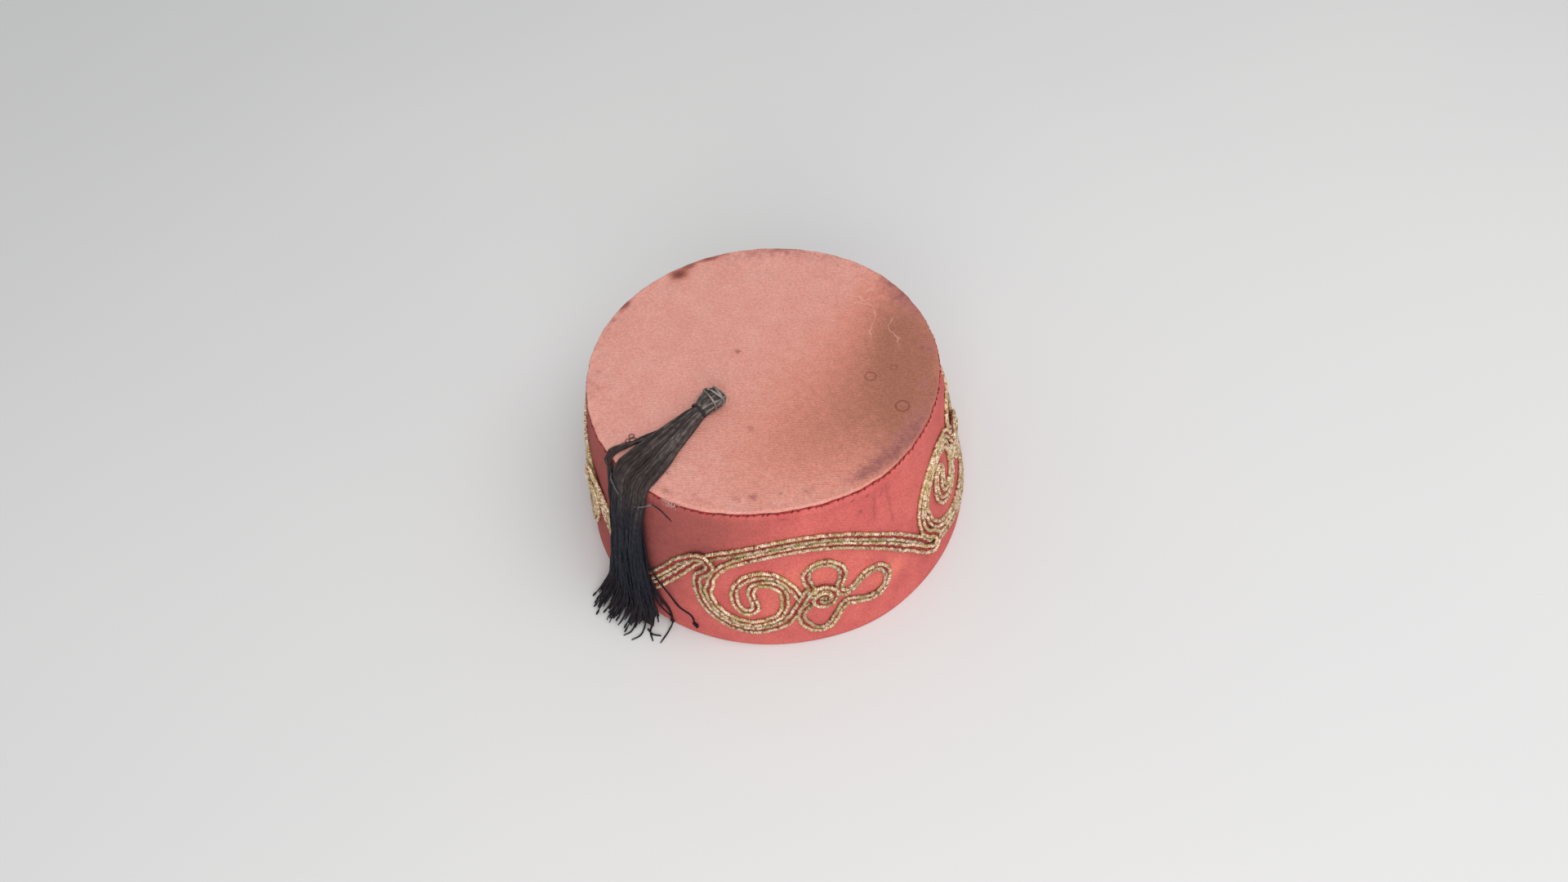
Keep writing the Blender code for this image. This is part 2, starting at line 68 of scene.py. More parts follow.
SIDES = 540     # of the crown's meshes
STEP = 0.0003   # along a braid

RNG = np.random.default_rng(7)

DENTS = (
    # turn, spread, height, spread, push
    (-145, 28, 1.00, 0.50, -0.90),
    (-70, 30, 1.00, 0.60, 0.90),
    (-28, 20, 0.45, 0.40, 0.90),
    (18, 14, 1.00, 0.50, 0.60),
    (48, 20, 1.00, 0.50, -0.60),
    (72, 14, 0.00, 0.35, 0.60),
    (82, 14, 0.90, 0.50, 0.50),
    (118, 22, 0.50, 0.45, -1.10),
    (160, 25, 1.00, 0.50, -0.50),
)

# Middle of the two braids of the wave, to the first fold, from a fold to the next, and to the back
VALLEY = (
    (0.00, 0.208), (0.12, 0.232), (0.23, 0.291), (0.38, 0.380), (0.56, 0.487), (0.74, 0.590),
    (0.90, 0.640),
)
ARCH = (
    (0.000, 0.647), (0.133, 0.701), (0.283, 0.748), (0.417, 0.753), (0.540, 0.715), (0.646, 0.644),
    (0.769, 0.525), (0.876, 0.371), (0.918, 0.306), (0.962, 0.245),
)
CREST = ((0.00, 0.647), (0.50, 0.665), (1.00, 0.672))

# Below a fold: middle of the arc's two braids, then the outer one to the knot, and the inner one
# round the curl; turns from the fold as shares of ARCH_TURN, heights as shares of CROWN_HEIGHT
ARC = (
    (-0.035, 0.430), (-0.026, 0.359), (-0.004, 0.287), (0.036, 0.228), (0.089, 0.186),
    (0.150, 0.166), (0.213, 0.175),
)
STEM = ((0.276, 0.185), (0.318, 0.250), (0.348, 0.325), (0.376, 0.392), (0.405, 0.440))
CURL = (
    (0.254, 0.238), (0.286, 0.303), (0.296, 0.368), (0.289, 0.445), (0.258, 0.490), (0.217, 0.503),
    (0.180, 0.483), (0.165, 0.439), (0.171, 0.386), (0.179, 0.344), (0.172, 0.304), (0.144, 0.282),
    (0.115, 0.304), (0.102, 0.344), (0.096, 0.404), (0.107, 0.471), (0.147, 0.536), (0.204, 0.567),
    (0.264, 0.552), (0.305, 0.505), (0.336, 0.440), (0.354, 0.380),
)

# The upper braid's fold over the lower one: turn, height, lift in metres
HOOK = (
    (-0.142, 0.563, 0.0000), (-0.092, 0.622, 0.0006), (-0.048, 0.668, 0.0014),
    (-0.014, 0.676, 0.0018), (0.008, 0.650, 0.0020), (0.014, 0.618, 0.0020), (-0.004, 0.580, 0.0018),
    (-0.030, 0.545, 0.0012), (-0.050, 0.500, 0.0004),
)
# The same fold at the end of an arch, where the braid comes in more steeply
HOOK_LOW = (
    (-0.142, 0.512, 0.0000), (-0.092, 0.590, 0.0006), (-0.050, 0.648, 0.0014),
) + HOOK[3:]
# The arc's inner braid, from the arc up into the arch
TURN_IN = ((0.000, 0.452), (0.007, 0.498), (0.022, 0.545), (0.048, 0.592), (0.086, 0.634))

# Petals: turn and height
PETALS = (
    (0.404, 0.437), (0.392, 0.488), (0.391, 0.536), (0.416, 0.578), (0.460, 0.594), (0.500, 0.574),
    (0.536, 0.516), (0.534, 0.454), (0.519, 0.408), (0.516, 0.365), (0.534, 0.337), (0.562, 0.346),
    (0.590, 0.372), (0.622, 0.404), (0.660, 0.416), (0.699, 0.400), (0.721, 0.353), (0.724, 0.299),
    (0.704, 0.246), (0.664, 0.219), (0.620, 0.226), (0.580, 0.244), (0.541, 0.262), (0.510, 0.229),
    (0.490, 0.186), (0.467, 0.139), (0.437, 0.110), (0.397, 0.119), (0.364, 0.172), (0.351, 0.233),
    (0.368, 0.289), (0.392, 0.317),
)
KNOT = (0.450, 0.362)
# Coil of the knot: angle in degrees and radius in metres
COIL = (
    (150, 0.0052), (105, 0.0050), (60, 0.0046), (15, 0.0043), (-30, 0.0043), (-75, 0.0042),
    (-120, 0.0040), (-165, 0.0034), (-210, 0.0027), (-255, 0.0021), (-300, 0.0017), (-345, 0.0013),
    (-390, 0.0010),
)


# ---------------------------------------------------------------- shapes shared by the pieces

def smoothstep(share):
    share = np.clip(share, 0.0, 1.0)
    return share * share * (3 - 2 * share)


def degrees_from(turn, at):
    """Degrees from a turn, the short way round."""
    return (np.degrees(turn) - at + 180) % 360 - 180


def dent(turn, height):
    push = 0.0
    for at, spread, level, level_spread, share in DENTS:
        aside = np.abs(degrees_from(turn, at)) / spread
        above = (height / CROWN_HEIGHT - level) / level_spread
        push = push + share * np.exp(-aside * aside - above * above)
    return push * DENT_DEPTH


def cone_radius(height):
    return BASE_RADIUS + (TOP_RADIUS - BASE_RADIUS) * height / CROWN_HEIGHT


def wall_radius(turn, height):
    return cone_radius(height) + dent(turn, height)


def top_height(radius):
    return CROWN_HEIGHT - TOP_SAG * (1 - (radius / TOP_RADIUS) ** 2)


def around(turn, radius, height):
    return np.stack([radius * np.sin(turn), AXIS_Y - radius * np.cos(turn), height + 0 * turn], -1)


def on_wall(across, up, lift):
    turn = across / MID_RADIUS
    radius = wall_radius(turn, up) + lift * math.cos(WALL_LEAN)
    return around(turn, radius, up + lift * math.sin(WALL_LEAN))


def top_place(turn, radius):
    turn = math.radians(turn)
    return (radius * math.sin(turn), AXIS_Y - radius * math.cos(turn), top_height(radius))


def wall_place(turn, height):
    turn = math.radians(turn)
    radius = float(wall_radius(np.array(turn), height))
    return (radius * math.sin(turn), AXIS_Y - radius * math.cos(turn), height)


def lumps(points, size, seed):
    """Smooth noise from -1 to 1, with lumps of about a size."""
    scaled = points / size
    cell = np.floor(scaled).astype(np.int64)
    part = scaled - cell
    part = part * part * (3 - 2 * part)
    total = 0.0
    for corner in product((0, 1), repeat=3):
        key = cell + np.array(corner)
        mixed = key[..., 0] * 73856093 ^ key[..., 1] * 19349663 ^ key[..., 2] * 83492791 ^ seed * 668265263
        mixed = (mixed ^ (mixed >> 13)) * 1274126177 & 0x7FFFFFFF
        value = ((mixed ^ (mixed >> 16)) & 0xFFFF) / 32767.5 - 1
        share = np.prod(np.where(np.array(corner) == 1, part, 1 - part), -1)
        total = total + value * share
    return total


def lengths(curve):
    """Distance along a curve to each of its points."""
    return np.concatenate([[0], np.cumsum(np.linalg.norm(np.diff(curve, axis=0), axis=1))])


def resample(curve, step):
    length = lengths(curve)
    places = np.linspace(0, length[-1], max(2, round(length[-1] / step)) + 1)
    return np.stack([np.interp(places, length, column) for column in curve.T], 1)


def through(points, step):
    """A smooth curve through points, evenly sampled."""
    points = np.array(points, float)
    padded = np.vstack([2 * points[0] - points[1], points, 2 * points[-1] - points[-2]])
    curve = []
    for before, start, end, after in zip(padded, padded[1:], padded[2:], padded[3:]):
        share = np.linspace(0, 1, 12, endpoint=False)[:, None]
        pull = (end - before) / 2
        push = (after - start) / 2
        bend = ((end - start) * 3 - pull * 2 - push) * share ** 2
        curve.append(start + pull * share + bend + ((start - end) * 2 + pull + push) * share ** 3)
    curve.append(points[-1:])
    return resample(np.vstack(curve), step)


def headings(curve):
    way = np.gradient(curve, axis=0)
    return way / np.maximum(np.linalg.norm(way, axis=1, keepdims=True), 1e-12)


def leftward(curve):
    """Unit steps to the left of a curve laid out flat."""
    way = headings(curve)
    return np.stack([-way[:, 1], way[:, 0]], 1)


class Batch:
    """Collects tubes and sheets of quads for one mesh."""

    def __init__(self):
        self.points, self.quads, self.uvs, self.slots, self.tones, self.caps = [], [], [], [], [], []
        self.count = 0

    def grid(self, points, uv, slot=0, tone=0.5, closed=True, capped=True, looped=False):
        """Rows of points, each a ring when closed, with a uv; looped joins the last row to the first."""
        rows, sides = points.shape[:2]
        index = np.arange(rows * sides).reshape(rows, sides) + self.count
        along, across = uv
        lines = index
        if looped:
            lines = np.vstack([index, index[:1]])
            along = np.append(along, along[-1] + 0.001)
        after = np.roll(lines, -1, 1) if closed else lines[:, 1:]
        first = lines if closed else lines[:, :-1]
        quads = np.stack([first[:-1], after[:-1], after[1:], first[1:]], -1).reshape(-1, 4)
        steps = across[1:] - across[:-1]
        left = np.broadcast_to(across[:-1], (len(lines) - 1, len(steps)))
        right = left + steps
        low = np.broadcast_to(along[:-1, None], left.shape)
        high = np.broadcast_to(along[1:, None], left.shape)
        corners = np.stack([np.stack([low, left], -1), np.stack([low, right], -1),
                            np.stack([high, right], -1), np.stack([high, left], -1)], 2)
        self.points.append(points.reshape(-1, 3))
        self.quads.append(quads)
        self.uvs.append(corners.reshape(-1, 2))
        self.slots.append(np.full(len(quads), slot))
        self.tones.append(np.full(rows * sides, tone))
        if closed and capped:
            for row, flip in ((0, True), (rows - 1, False)):
                ring = index[row][::-1] if flip else index[row]
                self.caps.append((ring.tolist(), slot))
        self.count += rows * sides

    def make(self, name, materials):
        points = np.vstack(self.points)
        quads = np.vstack(self.quads)
        loops = [quads.reshape(-1)] + [np.array(ring) for ring, _ in self.caps]
        sizes = np.concatenate([np.full(len(quads), 4)] + [[len(ring)] for ring, _ in self.caps])
        mesh = bpy.data.meshes.new(name)
        mesh.vertices.add(len(points))
        mesh.vertices.foreach_set("co", points.reshape(-1).astype(np.float32))
        loops = np.concatenate(loops)
        mesh.loops.add(len(loops))
        mesh.loops.foreach_set("vertex_index", loops.astype(np.int32))
        mesh.polygons.add(len(sizes))
        starts = np.concatenate([[0], np.cumsum(sizes)[:-1]])
        mesh.polygons.foreach_set("loop_start", starts.astype(np.int32))
        slots = np.concatenate(self.slots + [[slot for _, slot in self.caps]])
        mesh.polygons.foreach_set("material_index", slots.astype(np.int32))
        mesh.update(calc_edges=True)
        uv = np.zeros((len(loops), 2), np.float32)
        uv[: len(quads) * 4] = np.vstack(self.uvs)
        mesh.uv_layers.new(name="run").data.foreach_set("uv", uv.reshape(-1))
        tone = mesh.attributes.new("tone", "FLOAT", "POINT")
        tone.data.foreach_set("value", np.concatenate(self.tones).astype(np.float32))
        mesh.validate()
        mesh.shade_smooth()
        for material in materials:
            mesh.materials.append(material)
        piece = bpy.data.objects.new(name, mesh)
        bpy.context.collection.objects.link(piece)
        return piece


def tube(batch, path, radius, normal, sides=6, slot=0, tone=0.5, shift=0.0):
    """A round cord along a path in space; normal is any direction off the path at each point."""
    way = headings(path)
    side = np.cross(way, normal)
    side /= np.maximum(np.linalg.norm(side, axis=1, keepdims=True), 1e-12)
    up = np.cross(side, way)
    angle = np.arange(sides) * 2 * math.pi / sides
    radius = np.broadcast_to(radius, (len(path),))
    ring = path[:, None] + radius[:, None, None] * (
        np.cos(angle)[None, :, None] * side[:, None] + np.sin(angle)[None, :, None] * up[:, None])
    batch.grid(ring, (lengths(path) + shift, np.arange(sides + 1) / sides), slot, tone)


def dress(piece, slot, *nodes):
    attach(piece, "root")
    if nodes:
        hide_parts(*nodes)


# ---------------------------------------------------------------- materials

class Nodes:
    """Short names for the nodes of one material."""

    def __init__(self, name, roughness=0.9, **inputs):
        self.material = bpy.data.materials.new(name)
        self.material.use_nodes = True
        self.tree = self.material.node_tree
        self.shader = self.tree.nodes["Principled BSDF"]
        self.shader.inputs["Roughness"].default_value = roughness
        for key, value in inputs.items():
            self.shader.inputs[key.replace("_", " ")].default_value = value
        self.place = self.node("ShaderNodeTexCoord").outputs["Object"]

    def node(self, kind, **inputs):
        node = self.tree.nodes.new(kind)
        for key, value in inputs.items():
            self.put(node.inputs[key.replace("_", " ")], value)
        return node

    def put(self, socket, value):
        if isinstance(value, bpy.types.NodeSocket):
            self.tree.links.new(value, socket)
        else:
            socket.default_value = value

    def math(self, operation, first, second=0.0, third=0.0):
        node = self.tree.nodes.new("ShaderNodeMath")
        node.operation = operation
        for socket, value in zip(node.inputs, (first, second, third)):
            self.put(socket, value)
        return node.outputs[0]

    def noise(self, size, detail=2.0, roughness=0.5):
        return self.node("ShaderNodeTexNoise", Vector=self.place, Scale=1 / size, Detail=detail,
                         Roughness=roughness).outputs["Fac"]

    def frayed(self, mask, rough, amount):
        """A mask with its edge broken up by noise."""
        return self.math("MULTIPLY_ADD", self.math("SUBTRACT", rough, 0.5), amount, mask)

    def wave(self, phase):
        return self.math("SINE", self.math("MULTIPLY", phase, 2 * math.pi))

    def run(self):
        """Metres along a cord or up the wall, and the share or metres round it."""
        layer = self.node("ShaderNodeUVMap")
        layer.uv_map = "run"
        return self.node("ShaderNodeSeparateXYZ", Vector=layer.outputs[0]).outputs

    def ramp(self, value, low, high, to_low=0.0, to_high=1.0):
        node = self.node("ShaderNodeMapRange", Value=value, From_Min=low, From_Max=high, To_Min=to_low,
                         To_Max=to_high)
        node.interpolation_type = "SMOOTHSTEP"
        return node.outputs[0]

    def mix(self, share, first, second, kind="MIX"):
        node = self.tree.nodes.new("ShaderNodeMix")
        node.data_type = "RGBA"
        node.blend_type = kind
        self.put(node.inputs[0], share)
        for socket, value in ((node.inputs[6], first), (node.inputs[7], second)):
            self.put(socket, (*value, 1.0) if isinstance(value, tuple) else value)
        return node.outputs[2]

    def shade(self, colour, tint):
        """A colour times a number."""
        tint = self.node("ShaderNodeCombineColor", Red=tint, Green=tint, Blue=tint)
        return self.mix(1.0, colour, tint.outputs[0], "MULTIPLY")

    def named(self, name):
        node = self.tree.nodes.new("ShaderNodeAttribute")
        node.attribute_name = name
        return node

    def wear_and_shade(self):
        """The four masks of the marks attribute: wear and stains, and on the wall also painted shade and painted
        light.
        """
        wear_and_shade = self.named("wear_and_shade")
        parts = self.node("ShaderNodeSeparateColor", Color=wear_and_shade.outputs["Color"])
        return (*parts.outputs, wear_and_shade.outputs["Alpha"])

    def near(self, point):
        """Distance from a point."""
        node = self.tree.nodes.new("ShaderNodeVectorMath")
        node.operation = "DISTANCE"
        self.put(node.inputs[0], self.place)
        node.inputs[1].default_value = point
        return node.outputs["Value"]

    def finish(self, colour, height=None, strength=0.5, distance=0.0005, roughness=None):
        self.put(self.shader.inputs["Base Color"], colour)
        if roughness is not None:
            self.put(self.shader.inputs["Roughness"], roughness)
        if height is not None:
            bump = self.node("ShaderNodeBump", Height=height, Strength=strength, Distance=distance)
            self.put(self.shader.inputs["Normal"], bump.outputs[0])
        return self.material


# Water rings on the top: turn, distance from the axis, size, strength
RINGS = (
    (109.8, 0.0643, 0.0028, 1.0),
    (123.3, 0.0472, 0.0023, 0.8),
    (129.5, 0.0566, 0.0014, 0.6),
)


def top_felt():
    n = Nodes("faded_felt", 0.95, Specular_IOR_Level=0.2)
    grain = n.noise(0.0011, 3.0, 0.6)
    soft = n.noise(0.012, 3.0, 0.6)
    rough = n.noise(0.004, 4.0, 0.7)
    brown, purple, pale, spot = n.wear_and_shade()
    colour = n.mix(n.ramp(soft, 0.3, 0.7), (0.72, 0.345, 0.288), (0.69, 0.305, 0.252))
    stain = n.frayed(brown, rough, 0.5)
    colour = n.mix(n.ramp(stain, 0.00, 0.50), colour, (0.64, 0.245, 0.185))
    colour = n.mix(n.ramp(stain, 0.30, 1.0), colour, (0.370, 0.145, 0.098))
    smudge = n.frayed(purple, rough, 0.7)
    colour = n.mix(n.ramp(smudge, 0.08, 0.45, 0.0, 0.8), colour, (0.46, 0.180, 0.155))
    colour = n.mix(n.ramp(smudge, 0.16, 0.70), colour, (0.265, 0.095, 0.090))
    lines = n.math("ABSOLUTE", n.math("SUBTRACT", n.noise(0.016, 2.0, 0.5), 0.5))
    scratch = n.math("MULTIPLY", n.ramp(lines, 0.0, 0.020, 1.0, 0.0), n.ramp(pale, 0.15, 0.7))
    colour = n.mix(n.math("MULTIPLY", scratch, 0.42), colour, (0.78, 0.46, 0.38))
    for turn, radius, size, strength in RINGS:
        band = n.math("ABSOLUTE", n.math("SUBTRACT", n.near(top_place(turn, radius)), size))
        line = n.ramp(band, 0.0002, 0.0006, 0.75 * strength, 0.0)
        colour = n.mix(line, colour, (0.22, 0.07, 0.045))
    colour = n.mix(n.math("MULTIPLY", spot, 0.8), colour, (0.16, 0.03, 0.03))
    # A fine weave across the photo's line of sight, bent a little by noise
    axes = n.node("ShaderNodeSeparateXYZ", Vector=n.place).outputs
    across = n.math("ADD", n.math("MULTIPLY", axes[0], -0.69), n.math("MULTIPLY", axes[1], 0.72))
    across = n.math("MULTIPLY_ADD", n.noise(0.009, 2.0, 0.6), 0.0026, across)
    weave = n.wave(n.math("MULTIPLY", across, 1 / 0.00085))
    colour = n.shade(colour, n.math("MULTIPLY_ADD", weave, 0.040, n.ramp(grain, 0.25, 0.75, 0.84, 1.12)))
    height = n.math("MULTIPLY_ADD", weave, 0.2, n.math("MULTIPLY_ADD", soft, 0.5, grain))
    return n.finish(colour, height, 0.5, 0.0005)


def wall_felt():
    n = Nodes("red_felt", 0.92, Specular_IOR_Level=0.2)
    run = n.run()
    twill = n.wave(n.math("MULTIPLY", n.math("MULTIPLY_ADD", run[1], 0.55, run[0]), 1 / 0.00095))
    grain = n.noise(0.0010, 3.0, 0.6)
    soft = n.noise(0.014, 3.0, 0.6)
    rough = n.noise(0.004, 4.0, 0.7)
    shade_and_smudge, purple, painted_light, spot = n.wear_and_shade()
    colour = n.mix(n.ramp(soft, 0.3, 0.7), (0.63, 0.142, 0.126), (0.55, 0.113, 0.105))
    # Painted light: lighter patches, mostly where the wall's lower right is lit
    colour = n.mix(n.ramp(n.frayed(painted_light, rough, 0.4), 0.05, 1.0), colour, (0.78, 0.205, 0.150))
    # Painted shade, with one smudge: darker beside the tassel, on the shaded left of the wall and at its foot
    colour = n.mix(n.ramp(n.frayed(shade_and_smudge, rough, 0.5), 0.05, 1.0), colour, (0.36, 0.090, 0.078))
    # Purple: dirt under the rim, and deeper painted shade in the marks beside the tassel
    colour = n.mix(n.ramp(n.frayed(purple, rough, 0.8), 0.15, 1.0), colour, (0.17, 0.040, 0.055))
    # Dark spots, and the painted shade in the wall's creases
    colour = n.mix(n.math("MULTIPLY", spot, 0.7), colour, (0.14, 0.02, 0.025))
    tint = n.math("ADD", n.ramp(grain, 0.25, 0.75, 0.84, 1.13), n.math("MULTIPLY", twill, 0.035))
    height = n.math("MULTIPLY_ADD", twill, 0.25, n.math("MULTIPLY_ADD", soft, 0.5, grain))
    return n.finish(n.shade(colour, tint), height, 0.5, 0.0004)


def gold_thread():
    n = Nodes("gold_thread", 0.45, Metallic=0.20)
    run = n.run()
    thread = n.wave(n.math("MULTIPLY_ADD", run[0], 1 / 0.00075, run[1]))
    speck = n.noise(0.0016, 3.0, 0.75)
    patch = n.noise(0.006, 2.0, 0.6)
    bare = n.noise(0.0024, 2.0, 0.6)
    colour = n.mix(n.ramp(speck, 0.40, 0.50), (0.180, 0.100, 0.035), (0.84, 0.59, 0.34))
    # Painted highlight: pale cream glints on the metal thread
    colour = n.mix(n.ramp(speck, 0.52, 0.60), colour, (1.0, 0.89, 0.74))
    colour = n.mix(n.ramp(patch, 0.46, 0.64, 0.0, 0.62), colour, (0.430, 0.345, 0.115))
    colour = n.mix(n.ramp(bare, 0.60, 0.68, 0.0, 0.60), colour, (0.340, 0.060, 0.045))
    # Painted shade between the wound turns of the thread
    colour = n.mix(n.ramp(thread, -0.9, -0.3, 0.55, 0.0), colour, (0.190, 0.095, 0.045))
    colour = n.shade(colour, n.ramp(n.named("tone").outputs["Fac"], 0.0, 1.0, 0.75, 1.15))
    height = n.math("MULTIPLY_ADD", speck, 0.8, thread)
    return n.finish(colour, height, 0.6, 0.0002, n.ramp(speck, 0.3, 0.7, 0.5, 0.32))


def crimson_thread():
    n = Nodes("crimson_thread", 0.85)
    thread = n.wave(n.math("MULTIPLY", n.run()[0], 1 / 0.0008))
    speck = n.noise(0.0015, 3.0, 0.7)
    colour = n.mix(n.ramp(speck, 0.35, 0.65), (0.20, 0.010, 0.012), (0.50, 0.040, 0.045))
    return n.finish(colour, n.math("ADD", speck, thread), 0.6, 0.0002)


def silk(name, colours, pale):
    """Black silk cord, a shade for each cord, with a painted pale highlight where it lies on the top.

    The colours are those on the top, down the wall and at the fringe.
    """
    n = Nodes(name, 0.75, Specular_IOR_Level=0.25)
    run = n.run()
    twist = n.math("MULTIPLY_ADD", run[0], 1 / 0.0052, run[1])
    thread = n.wave(n.math("MULTIPLY_ADD", n.noise(0.007, 2.0, 0.5), 1.6, twist))
    speck = n.noise(0.0013, 3.0, 0.7)
    _, out, level = n.node("ShaderNodeSeparateXYZ", Vector=n.place).outputs
    colour = n.mix(n.ramp(level, 0.060, 0.086), colours[1], colours[0])
    colour = n.mix(n.ramp(level, 0.004, 0.022, 1.0, 0.0), colour, colours[2])
    # Where the painted highlight shows: up on the top, most near the head
    near = n.math("MULTIPLY", n.ramp(level, 0.050, 0.086, 0.16, 1.0),
                  n.ramp(out, -0.064, -0.040, 0.35, 1.0))
    # Painted highlight: pale along the cords, more on cords of high tone
    painted_highlight = n.math("MULTIPLY", n.ramp(speck, 0.30, 0.70, 0.60, 1.0), n.ramp(thread, -0.8, 1.0, 0.70, 1.0))
    painted_highlight = n.math("MULTIPLY", painted_highlight, n.ramp(n.named("tone").outputs["Fac"], 0.35, 0.95, 0.0, 1.15))
    colour = n.mix(n.math("MULTIPLY", painted_highlight, near), colour, pale)
    # Painted shade in the grooves of the twist
    colour = n.mix(n.ramp(thread, -1.0, -0.5, 0.3, 0.0), colour, (0.004, 0.004, 0.005))
    return n.finish(colour, thread, 0.6, 0.0003, n.ramp(speck, 0.3, 0.7, 0.85, 0.65))


BLACK = ((0.034, 0.024, 0.023), (0.0050, 0.0065, 0.0150), (0.014, 0.009, 0.014))
GREY = ((0.060, 0.048, 0.046), (0.030, 0.028, 0.028), (0.02, 0.015, 0.018))


def plain_cord(name, light, dark):
    n = Nodes(name, 0.8)
    run = n.run()
    thread = n.wave(n.math("MULTIPLY_ADD", run[0], 1 / 0.0009, run[1]))
    speck = n.noise(0.0010, 2.0, 0.6)
    colour = n.mix(n.ramp(n.math("MULTIPLY_ADD", thread, 0.12, speck), 0.3, 0.7), dark, light)
    return n.finish(colour, thread, 0.5, 0.0001)


def pale_floor():
    n = Nodes("pale_floor", 0.85)
    cloud = n.noise(0.35, 2.0, 0.5)
    colour = n.mix(n.ramp(cloud, 0.3, 0.7), (0.71, 0.71, 0.715), (0.73, 0.73, 0.73))
    return n.finish(colour, n.noise(0.004, 2.0, 0.5), 0.04, 0.0003)


# ---------------------------------------------------------------- crown

# Marks on the top: turn, radius, spread along the radius and across it, and strengths
TOP_MARKS = (
    # turn, radius, deep, wide, brown, purple, pale, spot
    (130, 0.062, 0.026, 0.046, 0.62, 0, 0, 0),
    (137, 0.063, 0.010, 0.014, 0.22, 0, 0, 0),
    (104, 0.040, 0.048, 0.055, 0.34, 0, 0, 0),
    (70, 0.046, 0.024, 0.040, 0.26, 0, 0, 0),
    (154, 0.066, 0.014, 0.026, 0.30, 0.12, 0, 0),
    (108, 0.071, 0.010, 0.018, 0.30, 0.10, 0, 0),
    (89, 0.0722, 0.0050, 0.0110, 0.20, 0.42, 0, 0),
    (77, 0.0715, 0.0035, 0.0090, 0.10, 0.36, 0, 0),
    (104, 0.0735, 0.0050, 0.0120, 0.15, 0.32, 0, 0),
    (60, 0.0700, 0.0030, 0.0040, 0.05, 0.27, 0, 0),
    (41, 0.0690, 0.0030, 0.0055, 0.05, 0.25, 0, 0),
    (35, 0.0700, 0.0025, 0.0035, 0.05, 0.25, 0, 0),
    (24, 0.0725, 0.0030, 0.0050, 0.05, 0.22, 0, 0),
    (13, 0.0735, 0.0025, 0.0040, 0.05, 0.28, 0, 0),
    (166, 0.0755, 0.0050, 0.0200, 0.15, 0.38, 0, 0),
    (139, 0.0725, 0.0030, 0.0050, 0.10, 0.35, 0, 0),
    (121, 0.0705, 0.0030, 0.0040, 0.10, 0.30, 0, 0),
    (-103, 0.0728, 0.0032, 0.0040, 1.10, 0.30, 0, 0.95),
    (-108, 0.0752, 0.0018, 0.0030, 1.00, 0.25, 0, 0.50),
    (-116, 0.0755, 0.0014, 0.0060, 0.80, 0.20, 0, 0.65),
    (-80, 0.0755, 0.0014, 0.0034, 0.80, 0.20, 0, 0.60),
    (-130, 0.0740, 0.0050, 0.0300, 0, 0.22, 0, 0),
    (-155, 0.0740, 0.0070, 0.0300, 0, 0.22, 0, 0),
    (-42, 0.0730, 0.0060, 0.0120, 0, 0.20, 0, 0),
    (-70, 0.0750, 0.0030, 0.0200, 0, 0.25, 0, 0),
    (180, 0.0635, 0.0070, 0.0080, 0, 0, 0.80, 0),
    (165, 0.0540, 0.0080, 0.0110, 0, 0, 0.90, 0),
    (150, 0.0590, 0.0080, 0.0110, 0, 0, 0.80, 0),
)


def top_marks(turn, reach):
    """Colour attribute of the top: every mark is a soft oval."""
    wear_and_shade = np.zeros(turn.shape + (4,))
    for at, centre, deep, wide, *strengths in TOP_MARKS:
        away = turn - math.radians(at)
        amount = np.exp(-((reach * np.cos(away) - centre) / deep) ** 2 - (reach * np.sin(away) / wide) ** 2)
        wear_and_shade += amount[..., None] * np.array(strengths)
    return np.clip(wear_and_shade, 0, 1)


def wall_marks(turn, height):
    """The same for the wall, by turn and height."""
    wear_and_shade = np.zeros(turn.shape + (4,))
    for at, centre, deep, wide, *strengths in WALL_MARKS:
        aside = degrees_from(turn, at) / wide
        above = (height - centre) / deep
        wear_and_shade += np.exp(-(aside * aside + above * above))[..., None] * np.array(strengths)
    return np.clip(wear_and_shade, 0, 1)


def dots(points, table, spots):
    """Adds small dark spots, at points in space."""
    for place, size, strength in spots:
        away = np.linalg.norm(points - np.array(place), axis=-1)
        table[..., 3] = np.maximum(table[..., 3], strength * np.clip(1.5 - away / size, 0, 1))


def set_wear_and_shade(piece, wear_and_shade):
    layer = piece.data.color_attributes.new("wear_and_shade", "FLOAT_COLOR", "POINT")
    layer.data.foreach_set("color", wear_and_shade.reshape(-1).astype(np.float32))


def rim_wave(turn):
    """Unevenness of the sewn rim."""
    return 0.00010 * np.sin(turn * 31) + 0.00007 * np.sin(turn * 53 + 1) + 0.00004 * np.sin(turn * 97 + 2)


# Small spots on the top and on the wall: turn, radius or height, size, strength
TOP_SPOTS = (
    (-89, 0.0152, 0.0011, 0.8), (35.6, 0.0340, 0.0015, 0.35), (8.6, 0.0669, 0.0006, 0.8),
    (50, 0.0678, 0.0006, 0.8), (139, 0.0700, 0.0010, 0.4), (-63, 0.0513, 0.0014, 0.12),
    (-150, 0.0520, 0.0005, 0.6), (-165, 0.0610, 0.0008, 0.3),
)
WALL_SPOTS = (
    (73, 0.071, 0.0009, 0.8), (69.5, 0.0640, 0.0007, 0.6), (58, 0.052, 0.0007, 0.5),
    (24, 0.066, 0.0007, 0.5), (76, 0.078, 0.0008, 0.8), (71, 0.079, 0.0007, 0.9),
)


